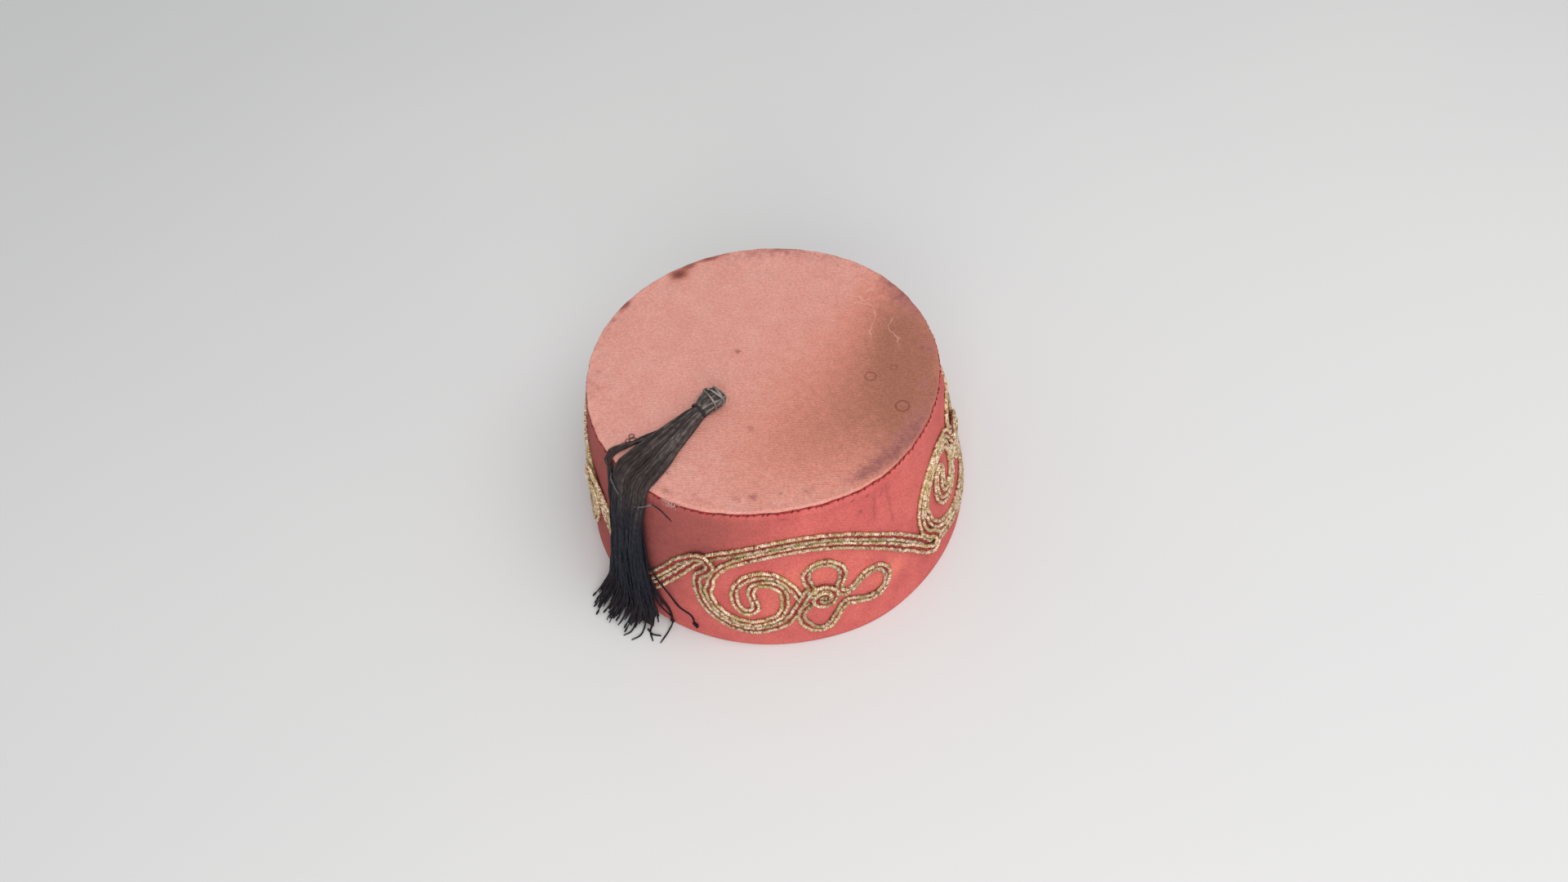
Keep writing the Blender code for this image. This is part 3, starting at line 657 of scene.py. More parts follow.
def make_top(material):
    turns = np.arange(SIDES) * 2 * math.pi / SIDES
    half = TOP_THICKNESS / 2
    flat = TOP_RADIUS - half
    rows = [(share * flat, 0.0) for share in np.linspace(0.003, 1, 64) ** 0.75]
    rows += [(flat + math.sin(a) * half, (math.cos(a) - 1) * half) for a in np.radians(range(18, 181, 18))]
    rows += [(share * flat, -TOP_THICKNESS) for share in np.linspace(1, 0.013, 12)[1:]]
    radius, level = np.array(rows).T[:, :, None]
    rim = wall_radius(turns, CROWN_HEIGHT) - TOP_RADIUS + rim_wave(turns)
    points = around(turns, radius + rim * (radius / TOP_RADIUS) ** 3, top_height(radius) + level)
    rise = 0.00022 * lumps(points, 0.016, 1) + 0.00010 * lumps(points, 0.005, 2)
    rolled = 0.0002 * np.exp(-((radius - TOP_RADIUS + 0.004) / 0.003) ** 2)
    points[..., 2] += np.where(level == 0, rise - rolled, 0)
    batch = Batch()
    batch.grid(points, (np.arange(len(rows)) * 0.001, np.arange(SIDES + 1) * 0.001))
    piece = batch.make("crown_top_felt", [material])
    wear_and_shade = top_marks(turns + 0 * radius, radius + 0 * turns)
    wear_and_shade[level[:, 0] < -0.9 * TOP_THICKNESS] = 0
    dots(points, wear_and_shade, [(top_place(*at), size, strength) for *at, size, strength in TOP_SPOTS])
    set_wear_and_shade(piece, wear_and_shade)
    return piece


# Painted shade in the fifth column: the wall beside the tassel, its shaded left and its foot are darkened, with
# one real smudge among them; the purple of those marks deepens the painted shade, while the small purple marks
# under the rim are dirt. The seventh column is painted light, mostly on the lit lower right of the wall.
WALL_MARKS = (
    # turn, height, tall, wide, painted shade, purple, painted light, spot
    (18, 0.070, 0.016, 12, 0.85, 0.15, 0, 0),
    (34, 0.074, 0.012, 16, 0.60, 0, 0, 0),
    (8, 0.045, 0.040, 12, 0.95, 0.35, 0, 0),
    (-14, 0.045, 0.045, 9, 0.80, 0.30, 0, 0),
    (26, 0.060, 0.005, 8, 0.4, 0.25, 0, 0),
    (50, 0.0790, 0.0010, 1.6, 0, 0.62, 0, 0),
    (57, 0.0792, 0.0009, 1.2, 0, 0.55, 0, 0),
    (45.5, 0.0796, 0.0008, 1, 0, 0.50, 0, 0),
    (60, 0.044, 0.012, 20, 0, 0, 0.50, 0),
    (80, 0.026, 0.007, 7, 0, 0, 0.75, 0),
    (46, 0.026, 0.012, 9, 0, 0, 0.40, 0),
    (90, 0.066, 0.016, 16, 0, 0, 0.30, 0),
    (40, 0.004, 0.005, 25, 0.25, 0, 0, 0),
    (-38, 0.045, 0.070, 24, 1.20, 0.32, 0, 0),
    (-120, 0.050, 0.040, 40, 0, 0, 0.30, 0),
    (170, 0.050, 0.040, 40, 0, 0, 0.35, 0),
)
CREASE_WIDTH = 0.55  # degrees
# Creases pressed into the wall: turn, lowest and highest height, lean in degrees, depth in metres
CREASES = (
    (77.0, 0.060, 0.078, 1.2, 0.00022),
    (83.5, 0.052, 0.080, -0.8, 0.00018),
    (79.5, 0.072, 0.079, 3.0, 0.00025),
    (-33.0, 0.050, 0.078, 1.5, 0.00018),
    (-118.0, 0.040, 0.079, 1.0, 0.00020),
    (142.0, 0.045, 0.080, -1.0, 0.00020),
)


def make_side(material):
    # Rows up the outside, over the rim, down the inside and back under the hem: height and depth
    rows = [(0.0, 0.0012), (0.0002, 0.0006), (0.0007, 0.0)]
    rows += [(height, 0.0) for height in np.linspace(0.0007, WALL_TOP - 0.0006, 74)[1:]]
    rows += [(WALL_TOP - 0.0002, 0.0003), (WALL_TOP, 0.0008), (WALL_TOP, WALL_THICKNESS - 0.0004)]
    rows += [(height, WALL_THICKNESS) for height in np.linspace(WALL_TOP - 0.0005, 0.0006, 18)]
    rows += [(0.0, WALL_THICKNESS - 0.0006)]
    height, depth = np.array(rows).T[:, :, None] + np.zeros(SIDES)
    turn = np.arange(SIDES) * 2 * math.pi / SIDES + 0 * height
    radius = wall_radius(turn, height) - depth
    outer = depth < 0.001
    level = smoothstep(height / 0.004) * smoothstep((WALL_TOP + 0.001 - height) / 0.004)
    raw = around(turn, radius, height)
    rise = 0.00025 * lumps(raw, 0.020, 5) + 0.00010 * lumps(raw, 0.006, 6)
    radius = radius + np.where(outer, rise * level, 0)
    radius = radius + rim_wave(turn) * smoothstep((height - 0.076) / 0.006)
    radius = radius + np.where(outer, 0.00025 * np.exp(-((height - 0.0795) / 0.0012) ** 2), 0)
    crease_shade = np.zeros_like(radius)
    for at, low, high, lean, deep in CREASES:
        centre = at + lean * (height - low) / (high - low)
        away = degrees_from(turn, centre) / CREASE_WIDTH
        amount = np.exp(-away * away) * smoothstep((height - low) / 0.004)
        amount = amount * smoothstep((high - height) / 0.004)
        radius = radius - np.where(outer, amount * deep, 0)
        # Painted shade: each crease is also darkened in colour, through the spot mask of the marks
        crease_shade = np.maximum(crease_shade, amount * 0.42)
    points = around(turn, radius, height)
    batch = Batch()
    across = np.arange(SIDES + 1) * 2 * math.pi * MID_RADIUS / SIDES
    batch.grid(points, (height[:, 0], across), capped=False, looped=True)
    piece = batch.make("crown_side_felt", [material])
    wear_and_shade = wall_marks(turn, height)
    wear_and_shade[..., 3] = np.maximum(wear_and_shade[..., 3], crease_shade)
    dots(points, wear_and_shade, [(wall_place(*at), size, strength) for *at, size, strength in WALL_SPOTS])
    set_wear_and_shade(piece, wear_and_shade)
    return piece


def make_stitches(threads):
    """Thread in the groove between the wall and the top, and the stitches that cross it."""
    batch = Batch()
    # The crimson cord along the groove is partly the seam's real thread and partly painted shade of the groove
    turns = np.linspace(0, 2 * math.pi, 700)
    wander = 0.00012 * np.sin(turns * 43) + 0.00010 * np.sin(turns * 71 + 2)
    radius = wall_radius(turns, WALL_TOP) + rim_wave(turns) - 0.00055
    path = around(turns, radius, WALL_TOP + 0.00015 + wander)
    normal = around(turns, radius + 1, WALL_TOP) - path
    swell = 0.00040 * (1 + 0.25 * np.sin(turns * 113) + 0.3 * np.sin(turns * 29 + 1))
    tube(batch, path, swell, normal, 6, 0, 0.5)
    share = np.linspace(-1, 1, 7)
    for at in np.arange(0, 360, 2.3):
        at = math.radians(at + RNG.uniform(-0.5, 0.5))
        turn = at + math.radians(RNG.uniform(0.4, 1.3)) * share / 2
        level = WALL_TOP + 0.0001 + share * 0.0011 * RNG.uniform(0.3, 0.9)
        out = wall_radius(turn, level) + rim_wave(turn) + 0.00005 - 0.0006 * share ** 6
        path = around(turn, out, level)
        normal = around(turn, out + 1, level) - path
        tube(batch, path, 0.00019 * (1 - 0.5 * share ** 6), normal, 5, int(RNG.random() < 0.35), 0.5)
    return batch.make("rim_stitches", threads)


def make_fray(fray):
    """The frayed spot of the rim beside the tassel."""
    batch = Batch()
    share = np.linspace(0, 1, 6)
    for _ in range(90):
        at = math.radians(RNG.normal(15.5, 1.3))
        level = WALL_TOP + RNG.uniform(-0.0010, 0.0020)
        curl = RNG.uniform(-1, 1, 3)
        turn = at + share * 0.010 * curl[0]
        height = level + share * 0.0010 * curl[1]
        out = wall_radius(turn, height) - 0.0002 + np.sin(share * math.pi) * 0.0009 * (0.4 + abs(curl[2]))
        path = around(turn, out, height)
        tube(batch, path, 0.00010 * (1 - 0.6 * share), path - np.array([0, AXIS_Y, 0]), 4, 0, 0.5)
    return batch.make("rim_fray", [fray])


# ---------------------------------------------------------------- braid

def fold_place(turn, height, fold, flipped, mirrored):
    if flipped:
        height = MIRROR_HEIGHT - height
    turn = fold + turn * ARCH_TURN
    if mirrored:
        turn = -turn
    return [math.radians(turn) * MID_RADIUS, height * CROWN_HEIGHT]


def wave_middle():
    """Middle of the ribbon round the wall as a table of turns and heights, once round."""
    folds = (FIRST_FOLD_TURN, FIRST_FOLD_TURN + ARCH_TURN, FIRST_FOLD_TURN + 2 * ARCH_TURN)
    half = [(turn * FIRST_FOLD_TURN, height) for turn, height in VALLEY]
    half += [(folds[0] + turn * ARCH_TURN, height) for turn, height in ARCH]
    half += [(folds[1] + turn * ARCH_TURN, MIRROR_HEIGHT - height) for turn, height in ARCH]
    half += [(folds[2] + turn * (180 - folds[2]), height) for turn, height in CREST]
    full = [(-turn, height) for turn, height in reversed(half[1:])] + half
    return [[math.radians(turn) * MID_RADIUS, height * CROWN_HEIGHT] for turn, height in full]


def lay_cord(batch, curve, offset, width, height, hand, tone, slot=0, lumpy=1.0, sides=8):
    """One cord of a braid, laid on the wall beside a curve of across, up and lift."""
    side = leftward(curve[:, :2])
    length = lengths(curve[:, :2])
    angle = np.arange(sides) * 2 * math.pi / sides
    swing = 0.00012 * lumpy * np.sin(length * 2 * math.pi / 0.0061 + tone * 9)
    turned = length[:, None] * 2 * math.pi / TWIST + hand * angle[None]
    swell = np.sin(length * 2 * math.pi / 0.0037 + tone * 20)[:, None]
    size = 1 + lumpy * (0.10 * np.cos(turned) + 0.07 * swell)
    aside = (np.broadcast_to(offset, swing.shape) + swing)[:, None] + width / 2 * np.cos(angle)[None] * size
    rise = curve[:, 2:3] + height / 2 * (1 + np.sin(angle)[None] * size)
    across = curve[:, :1] + side[:, :1] * aside
    up = curve[:, 1:2] + side[:, 1:] * aside
    points = on_wall(across, up, rise)
    batch.grid(points, (length, hand * np.arange(sides + 1) / sides), slot, tone)


def lay_braid(batch, curve, tight=0.0):
    """Two gold cords with a crimson groove between them; tight closes the groove in places."""
    length = np.arange(len(curve)) * STEP
    phase = RNG.uniform(0, 2 * math.pi, 2)
    close = 0.5 + 0.3 * np.sin(length * 2 * math.pi / 0.031 + phase[0])
    close = close + 0.3 * np.sin(length * 2 * math.pi / 0.013 + phase[1])
    spread = RIDGE_OFFSET - 0.00042 * tight * np.clip(close, 0, 1)
    for hand in (-1, 1):
        width = RIDGE_WIDTH * (1 + 0.12 * tight)
        lay_cord(batch, curve, hand * spread, width, RIDGE_HEIGHT, hand, RNG.uniform(0.2, 1))
    lay_cord(batch, curve[::2], 0.0, 0.0017, 0.0009, 1, 0.5, slot=1, lumpy=0.3, sides=6)


LAP = 11.0      # from a fold to where the lane that stops there ends, in degrees


def lane_of(middle, offset):
    """A lane beside a curve; offset may change along it."""
    return middle + leftward(middle) * np.broadcast_to(offset, (len(middle),))[:, None]


def make_braids(gold, crimson):
    def finish(name, curves, tight=0.0, slot="gold_braid"):
        batch = Batch()
        for curve in curves:
            lay_braid(batch, curve, tight)
        dress(batch.make(name + "_cords", [gold, crimson]), slot, name)

    middle = through(wave_middle(), STEP)
    folds = [FIRST_FOLD_TURN + ARCH_TURN * k for k in range(3)]
    turn = np.degrees(middle[:, 0] / MID_RADIUS)
    # One lane runs through every fold and changes sides there, and the other stops short of it
    crossing = np.zeros(len(turn))
    for number, fold in enumerate(folds):
        crossing += (-1) ** number * (smoothstep((np.abs(turn) - fold + 8.5) / 13.0))
    straight = lane_of(middle, LANE * (crossing - 0.5))
    other = lane_of(middle, LANE * (0.5 - crossing))
    parts = {"wave_braid_upper": [], "wave_braid_lower": []}
    spans = [(-folds[0], folds[0])]
    spans += [(folds[k], folds[k + 1]) for k in range(2)] + [(-folds[k + 1], -folds[k]) for k in range(2)]
    spans += [(folds[2], 180.0), (-180.0, -folds[2])]
    half = len(turn) // 2

    def stops(at):
        """Whether the other lane ends near this end of a span."""
        return abs(abs(at) - folds[2]) > 1 and abs(at) < 179

    for low, high in spans:
        high_up = np.interp(abs(low + high) / 2, np.abs(turn[half:]), crossing[half:]) > 0.5
        names = list(parts) if high_up else list(parts)[::-1]
        inside = (turn >= low - 0.15) & (turn <= high + 0.15)
        short = (turn >= low + LAP * stops(low)) & (turn <= high - LAP * stops(high))
        for name, curve in zip(names, (straight[inside], other[short])):
            parts[name].append(np.column_stack([curve, np.zeros(len(curve))]))
    for name, curves in parts.items():
        finish(name, curves)

    def other_at(at):
        return [np.interp(at, turn, other[:, 0]), np.interp(at, turn, other[:, 1]), 0.0]

    for number, (index, mirrored) in enumerate(((0, False), (1, False), (1, True), (0, True)), 1):
        fold = folds[index]
        flipped = index == 1
        sign = -1 if mirrored else 1

        def place(turn, height, lift=0.0):
            return fold_place(turn, height, fold, flipped, mirrored) + [lift]

        arc = through([place(*row)[:2] for row in ARC], STEP)
        turned = 1 if flipped == mirrored else -1
        outer, inner = ([[*point, 0.0] for point in lane_of(arc, side * turned * LANE / 2)[6::14]]
                        for side in (-1, 1))
        hook = [place(*row) for row in (HOOK_LOW if flipped else HOOK)]
        stem = [place(turn, height, min(0.0010, 0.0004 * k)) for k, (turn, height) in enumerate(STEM)]
        path = [other_at(sign * (fold - LAP))] + hook + outer + stem
        finish(f"arc_braid_{number}", [through(path, STEP)])
        path = [other_at(sign * (fold + LAP))] + [place(*row) for row in reversed(TURN_IN)]
        path += inner + [place(*row) for row in CURL]
        finish(f"scroll_braid_{number}", [through(path, STEP)], 0.7)
        finish(f"flower_braid_{number}", [through([place(*row) for row in PETALS], STEP)], 1.0)
        centre = place(*KNOT)
        coil = [stem[-1]]
        for step, (angle, radius) in enumerate(COIL):
            angle = math.radians(angle)
            coil.append([centre[0] + sign * math.cos(angle) * radius,
                         centre[1] + (-1 if flipped else 1) * math.sin(angle) * radius,
                         0.0012 + 0.00008 * step])
        finish(f"flower_knot_{number}", [through(coil, STEP)], 0.6, "gold_coil")


# ---------------------------------------------------------------- tassel

HEAD_START = 0.0218
HEAD_WIDTH = 0.0102
HEAD_RISE = 0.0080
FRINGE_REACH = 0.0190
FRINGE_BEND = 0.0160
BRAID_LIFT = 0.0030
RIM_INSET = 0.0013
RIM_BEND = 0.0016
FREE = 0.0003   # between the tassel and what it lies on
SAMPLES = 24    # on each stretch of the run
TASSEL = (
    # stretch, along, drift, width, rise
    ("top", 0.22, -0.17, 0.60, 0.60),
    ("top", 0.28, -0.17, 0.58, 0.56),
    ("top", 0.36, -0.15, 0.80, 0.66),
    ("top", 0.50, -0.10, 1.06, 0.64),
    ("top", 0.75, 0.00, 1.56, 0.58),
    ("top", 1.00, 0.10, 1.84, 0.52),
    ("rim", 0.50, 0.10, 1.84, 0.48),
    ("rim", 1.00, 0.10, 1.80, 0.46),
    ("wall", 0.16, 0.06, 1.72, 0.48),
    ("wall", 0.45, 0.00, 1.76, 0.54),
    ("wall", 0.75, -0.08, 2.25, 0.56),
    ("wall", 1.00, -0.18, 2.95, 0.54),
    ("foot", 0.50, -0.10, 3.55, 0.46),
    ("foot", 1.00, 0.05, 3.95, 0.34),
    ("floor", 1.00, 0.18, 4.20, 0.22),
)


def ground(stretch, share):
    """What the tassel lies on: radius, height, angle of the way up."""
    rim_level = CROWN_HEIGHT - RIM_INSET
    foot_level = FREE + FRINGE_BEND * (1 - math.sin(WALL_LEAN))
    foot_radius = cone_radius(foot_level) + BRAID_LIFT
    floor_radius = foot_radius + FRINGE_BEND * math.cos(WALL_LEAN)
    if stretch == "top":
        radius = HEAD_START + (TOP_RADIUS - RIM_INSET - HEAD_START) * share
        return radius, top_height(radius) + 0.0001, math.pi / 2
    if stretch == "rim":
        angle = math.pi / 2 + (WALL_LEAN - math.pi / 2) * share
        return TOP_RADIUS - RIM_INSET + RIM_BEND * math.cos(angle), rim_level + RIM_BEND * math.sin(angle), angle
    if stretch == "wall":
        level = rim_level + (foot_level - rim_level) * share
        lift = FREE + (BRAID_LIFT - FREE) * float(smoothstep(share / 0.3))
        return cone_radius(level) + lift, level, WALL_LEAN
    if stretch == "foot":
        angle = WALL_LEAN + (math.pi / 2 - WALL_LEAN) * share
        level = FREE + FRINGE_BEND * (1 - math.sin(angle))
        return floor_radius - FRINGE_BEND * math.cos(angle), level, angle
    return floor_radius + (BASE_RADIUS + FRINGE_REACH - floor_radius) * share, FREE, math.pi / 2


def tassel_run():
    """Finely sampled ground of the tassel, with drift, width and rise, and its length."""
    keys, samples = [], []
    for first, second in zip(TASSEL, TASSEL[1:]):
        stretch = second[0]
        start = first[1] if first[0] == stretch else 0.0
        for share in np.linspace(0, 1, SAMPLES, endpoint=False):
            samples.append(ground(stretch, start + (second[1] - start) * share))
            keys.append([first[k] + (second[k] - first[k]) * share for k in (2, 3, 4)])
    samples.append(ground(*TASSEL[-1][:2]))
    keys.append(list(TASSEL[-1][2:]))
    samples, keys = np.array(samples), np.array(keys)
    length = np.concatenate([[0], np.cumsum(np.hypot(np.diff(samples[:, 0]), np.diff(samples[:, 1])))])
    return length, samples, keys


def arched(aside):
    return 0.35 + 0.65 * np.sqrt(np.maximum(0, 1 - aside * aside))


def strand_points(run, places, aside, layer, swing=0.0):
    """Points of a strand: aside from -1 to 1 over the bundle, layer from 0 to 1 of its height."""
    length, samples, keys = run
    radius, height, up = (np.interp(places, length, column) for column in samples.T)
    drift, width, rise = (np.interp(places, length, column) for column in keys.T)
    across = (drift + aside * width / 2 + swing) * HEAD_WIDTH
    lift = rise * HEAD_RISE * arched(np.clip(aside, -1, 1)) * layer
    turn = across / radius
    fade = np.minimum(radius / TOP_RADIUS, 1) ** 3
    shift = dent(turn, height) * fade
    out = radius + shift + lift * np.cos(up)
    level = height + lift * np.sin(up)
    normal = around(turn, np.cos(up), np.sin(up)) - np.array([0, AXIS_Y, 0])
    return around(turn, out, level), normal


# How far the cords reach along the floor, from the left of the skirt to the right
TIP_ASIDE = (-1, -0.7, -0.3, 0.0, 0.3, 0.55, 0.75, 1.0)
TIP_RADIUS = (0.1075, 0.1095, 0.1105, 0.1090, 0.1070, 0.1035, 0.0995, 0.0965)
INNER_CORDS, OUTER_CORDS, LOCKS = 58, 60, 9


def make_skirt(cord):
    run = tassel_run()
    length, samples, _ = run
    batch = Batch()
    tips = []
    for number in range(INNER_CORDS + OUTER_CORDS):
        outer = number >= INNER_CORDS
        even = -0.97 + 1.94 * (number - INNER_CORDS) / (OUTER_CORDS - 1)
        aside = even if outer else RNG.uniform(-0.96, 0.96)
        aside = np.clip(aside + RNG.normal(0, 0.012), -1, 1)
        layer = RNG.uniform(0.76, 1.06) if outer else RNG.uniform(0.25, 0.72)
        lock = int(np.clip((aside + 1) / 2 * LOCKS, 0, LOCKS - 1))
        hanging = SAMPLES * 10      # the part of the run from low on the wall outwards
        reach = np.interp(np.interp(aside, TIP_ASIDE, TIP_RADIUS), samples[hanging:, 0], length[hanging:])
        reach -= RNG.uniform(0.0, 0.005) + (0 if outer else 0.003)
        places = np.arange(0.0, reach, 0.0015)
        share = places / length[-1]
        phase = RNG.uniform(0, 2 * math.pi, 4)
        free = smoothstep((share - 0.08) / 0.25)
        wander = free * (0.06 * np.sin(share * 8 + phase[0]) + 0.03 * np.sin(share * 21 + phase[1]))
        loose = smoothstep((places - 0.095) / 0.045)
        gather = ((lock + 0.5) * 2 / LOCKS - 1 - aside) * (0.22 * free + 0.28 * loose)
        splay = RNG.normal(0, 0.16) * loose ** 2
        waving = 1 + 0.08 * np.sin(share * 17 + phase[2]) + 0.05 * np.sin(share * 37 + phase[3])
        path, normal = strand_points(run, places, aside + wander + gather, layer * waving, splay)
        radius = RNG.uniform(0.00048, 0.00074) * (1 + 0.10 * np.sin(share * 40 + phase[0]))
        radius = radius * (1 - 0.25 * smoothstep((places - 0.085) / 0.03))
        radius = radius * (1 - 0.35 * smoothstep((places - reach + 0.006) / 0.006))
        path[:, 2] = np.maximum(path[:, 2], radius + 0.0001)
        tone = RNG.uniform(0.2, 1) if outer else RNG.uniform(0, 0.3)
        tube(batch, path, radius, normal, 6, 0, tone, RNG.uniform(0, 0.01))
        if outer and RNG.random() < 0.18:
            tips.append((path[-1], path[-1] - path[-3], normal[-1]))
    # Small knots at the ends of some cords
    for at, way, normal in tips:
        share = np.linspace(0, 1, 7)
        path = at + way / np.linalg.norm(way) * 0.0026 * (share[:, None] - 0.3)
        path[:, 2] = np.maximum(path[:, 2], 0.0009)
        thick = 0.0003 + 0.0003 * np.sin(share * math.pi)
        tube(batch, path, thick, np.broadcast_to(normal, path.shape), 6, 0, 0.7)
    # A dark core, so that no light comes through between the cords
    places = np.arange(0.0, length[SAMPLES * 13] * 0.93, 0.002)
    core = [(aside, 0.72) for aside in np.linspace(-1, 1, 11)]
    core += [(aside, 0.06) for aside in np.linspace(1, -1, 5)[1:-1]]
    rows = [strand_points(run, places, np.full(len(places), aside * 0.92), layer)[0] for aside,
            layer in core]
    rows = np.array(rows).transpose(1, 0, 2)[:, ::-1]
    batch.grid(rows, (places, np.arange(len(core) + 1) / len(core)), 0, 0.0)
    return batch.make("tassel_skirt", [cord])


HEAD_FIRST = HEAD_START + 0.0010
HEAD_LAST = 0.0398
BULB_SHARE = (0, 0.04, 0.12, 0.25, 0.42, 0.58, 0.72, 0.82, 0.90, 1.0)
BULB_SIZE = (0.10, 0.46, 0.80, 0.98, 1.00, 0.90, 0.74, 0.62, 0.58, 0.66)
HEAD_CORDS = 26
# Cords across the head's end, pale with painted highlight: share of its length, lean, tone
HEAD_BANDS = ((0.08, 0.5, 1.0), (0.17, -1.1, 1.0), (0.29, 1.0, 0.95), (0.44, -0.9, 0.8))


def bulb(share):
    """Size of the head along it, from its end to its neck."""
    return np.interp(share, BULB_SHARE, BULB_SIZE)


def on_top(aside, along, lift):
    """A place over the top, along the tassel's line and beside it."""
    return around(aside / along, along, top_height(along) + lift)


def make_head(cord):
    batch = Batch()
    span = HEAD_LAST - HEAD_FIRST
    share = np.linspace(0.0, 1.0, 34)
    size = bulb(share)
    along = HEAD_FIRST + span * share
    for number in range(HEAD_CORDS):
        angle = 2 * math.pi * number / HEAD_CORDS + 0.5 * share + 0.14 * np.sin(share * 6 + number * 1.7)
        aside = -0.0013 - 0.0009 * share + np.cos(angle) * (HEAD_WIDTH / 2 * size - 0.0005)
        lift = (HEAD_RISE * 0.5 - 0.0002) * size * (1 + np.sin(angle) * 0.92)
        path = on_top(aside, along, np.maximum(lift, 0.0006))
        centre = on_top(-0.0016, along, HEAD_RISE * 0.5 * size)
        thick = RNG.uniform(0.00050, 0.00068) * (0.65 + 0.35 * size)
        normal = path - centre + np.array([0, 0, 1e-5])
        tube(batch, path, thick, normal, 6, 0, RNG.uniform(0.3, 0.9), RNG.uniform(0, 0.01))
    # The body under the cords
    share = np.linspace(0.0, 1.0, 24)[:, None]
    ring = np.arange(14) * 2 * math.pi / 14
    aside = -0.0013 - 0.0009 * share + np.cos(ring) * (HEAD_WIDTH / 2 * bulb(share) * 0.88)
    lift = HEAD_RISE * 0.5 * bulb(share) * (1 + np.sin(ring) * 0.86)
    points = on_top(aside, HEAD_FIRST + 0.0004 + (span - 0.0004) * share, lift)
    batch.grid(points, (share[:, 0] * 0.017, np.arange(15) / 14), 0, 0.2)
    for first, lean, tone in HEAD_BANDS:
        angle = np.linspace(-0.15, 1.15, 26) * math.pi
        share = first + lean * 0.10 * np.linspace(-1, 1, 26)
        along = HEAD_FIRST + span * share
        aside = -0.0015 + np.cos(angle) * (HEAD_WIDTH / 2 * bulb(share) + 0.0002)
        path = on_top(aside, along, HEAD_RISE * 0.5 * bulb(share) * (1 + np.sin(angle)) + 0.0003)
        tube(batch, path, 0.0005, path - on_top(-0.0015, along, HEAD_RISE * 0.5), 6, 0, tone)
    return batch.make("tassel_head", [cord])


def make_binding(thread):
    """Four turns of dark thread round the neck."""
    batch = Batch()
    angle = np.linspace(0, 2 * math.pi * 4, 150)
    along = 0.0362 + 0.0010 * angle / angle[-1]
    path = on_top(np.cos(angle) * 0.0038 - 0.0018, along, 0.0028 * (1 + np.sin(angle)) + 0.0002)
    tube(batch, path, 0.00028, path - on_top(-0.0018, along, 0.0028), 5, 0, 0.5)
    return batch.make("tassel_binding", [thread])


# Bare strands: radius, copies, and their way: surface, turn, radius or height, lift in millimetres
LOOSE = (
    # left of the skirt, over the rim
    (0.00050, 12, (
        ("top", -5, 0.040, 3), ("top", -6.6, 0.052, 2.4), ("top", -9, 0.063, 1.6), ("top", -11, 0.071, 1.2),
        ("top", -10.8, 0.0762, 1.4), ("wall", -10.4, 0.0838, 1.8), ("wall", -9.8, 0.0790, 1.5),
        ("wall", -9.8, 0.066, 1.8), ("wall", -9.2, 0.050, 2.4), ("wall", -9, 0.036, 3),
        ("wall", -9.4, 0.024, 3))),
    # right of the skirt
    (0.00036, 2, (
        ("wall", 6.4, 0.040, 3.2), ("wall", 8.2, 0.033, 2.6), ("wall", 9.5, 0.029, 2.2),
        ("wall", 12, 0.022, 1.2),
        ("wall", 15, 0.015, 0.5), ("wall", 18.5, 0.012, 0.5), ("wall", 19.6, 0.0072, 0.5))),
    (0.00040, 2, (
        ("wall", 5, 0.030, 3.4), ("wall", 7.4, 0.019, 2.4), ("wall", 10, 0.013, 1.2),
        ("wall", 11.6, 0.008, 0.6),
        ("wall", 12, 0.0022, 0.5))),
    (0.00040, 1, (
        ("wall", 5.6, 0.024, 3.4), ("wall", 9, 0.012, 2.4), ("wall", 12.6, 0.005, 1.6),
        ("floor", 12.6, 0.0970, 0.5),
        ("floor", 12.6, 0.1027, 0.5))),
    (0.00040, 1, (
        ("wall", 4.6, 0.022, 3.6), ("wall", 6.5, 0.012, 3.4), ("floor", 7.6, 0.0972, 1.4),
        ("floor", 8.4, 0.1005, 0.5),
        ("floor", 10.6, 0.1036, 0.5))),
    (0.00040, 1, (
        ("wall", 3, 0.022, 4), ("wall", 5, 0.012, 4), ("floor", 6, 0.0985, 2), ("floor", 7, 0.1040, 0.6),
        ("floor", 6, 0.1085, 0.5))),
    (0.00040, 1, (
        ("wall", 1.5, 0.020, 4.2), ("wall", 2.6, 0.011, 4.4), ("floor", 3.4, 0.0995, 2.2),
        ("floor", 4.4, 0.1050, 0.7),
        ("floor", 3.6, 0.1090, 0.5))),
    (0.00034, 3, (("wall", 5.2, 0.034, 3.4), ("wall", 7.4, 0.025, 2.8), ("wall", 8.8, 0.018, 2),
                  ("wall", 9.2, 0.011, 1.2))),
    (0.00040, 1, (("floor", 7.4, 0.1002, 0.9), ("floor", 9.4, 0.1010, 0.6), ("floor", 11.6, 0.0996, 0.5))),
)
MANY = 4        # more copies than this are a lock, with strands of unequal length
# Knots at the strands' ends: turn, height, lift; small loops on the top: turn, radius, size, rounds
KNOTS = ((19.7, 0.0070, 0.7), (20.3, 0.0066, 0.9), (12.1, 0.0024, 0.8))
LOOPS = ((-11.6, 0.0655, 0.0013, 1.4), (-13.4, 0.0650, 0.0011, 1.3), (-12.4, 0.0675, 0.0009, 1.2))
# Grey thread across the skirt, and its dark tail
THREAD = ((-8, 0.079, 2.2), (-5.5, 0.0795, 4.6), (-1, 0.0755, 5.2), (3, 0.0745, 4.8),
          (7, 0.0772, 4), (9.6, 0.0785, 1.6))
TAIL = ((9.4, 0.0787, 1.7), (11.8, 0.0765, 0.7), (14, 0.0742, 0.5), (15.6, 0.0722, 0.4))


def spot(kind, turn, value, lift):
    turn = np.array(math.radians(turn))
    lift = lift / 1000
    if kind == "top":
        return around(turn, value, top_height(value) + lift)
    if kind == "wall":
        return around(turn, wall_radius(turn, value) + lift, value)
    return around(turn, value, lift)


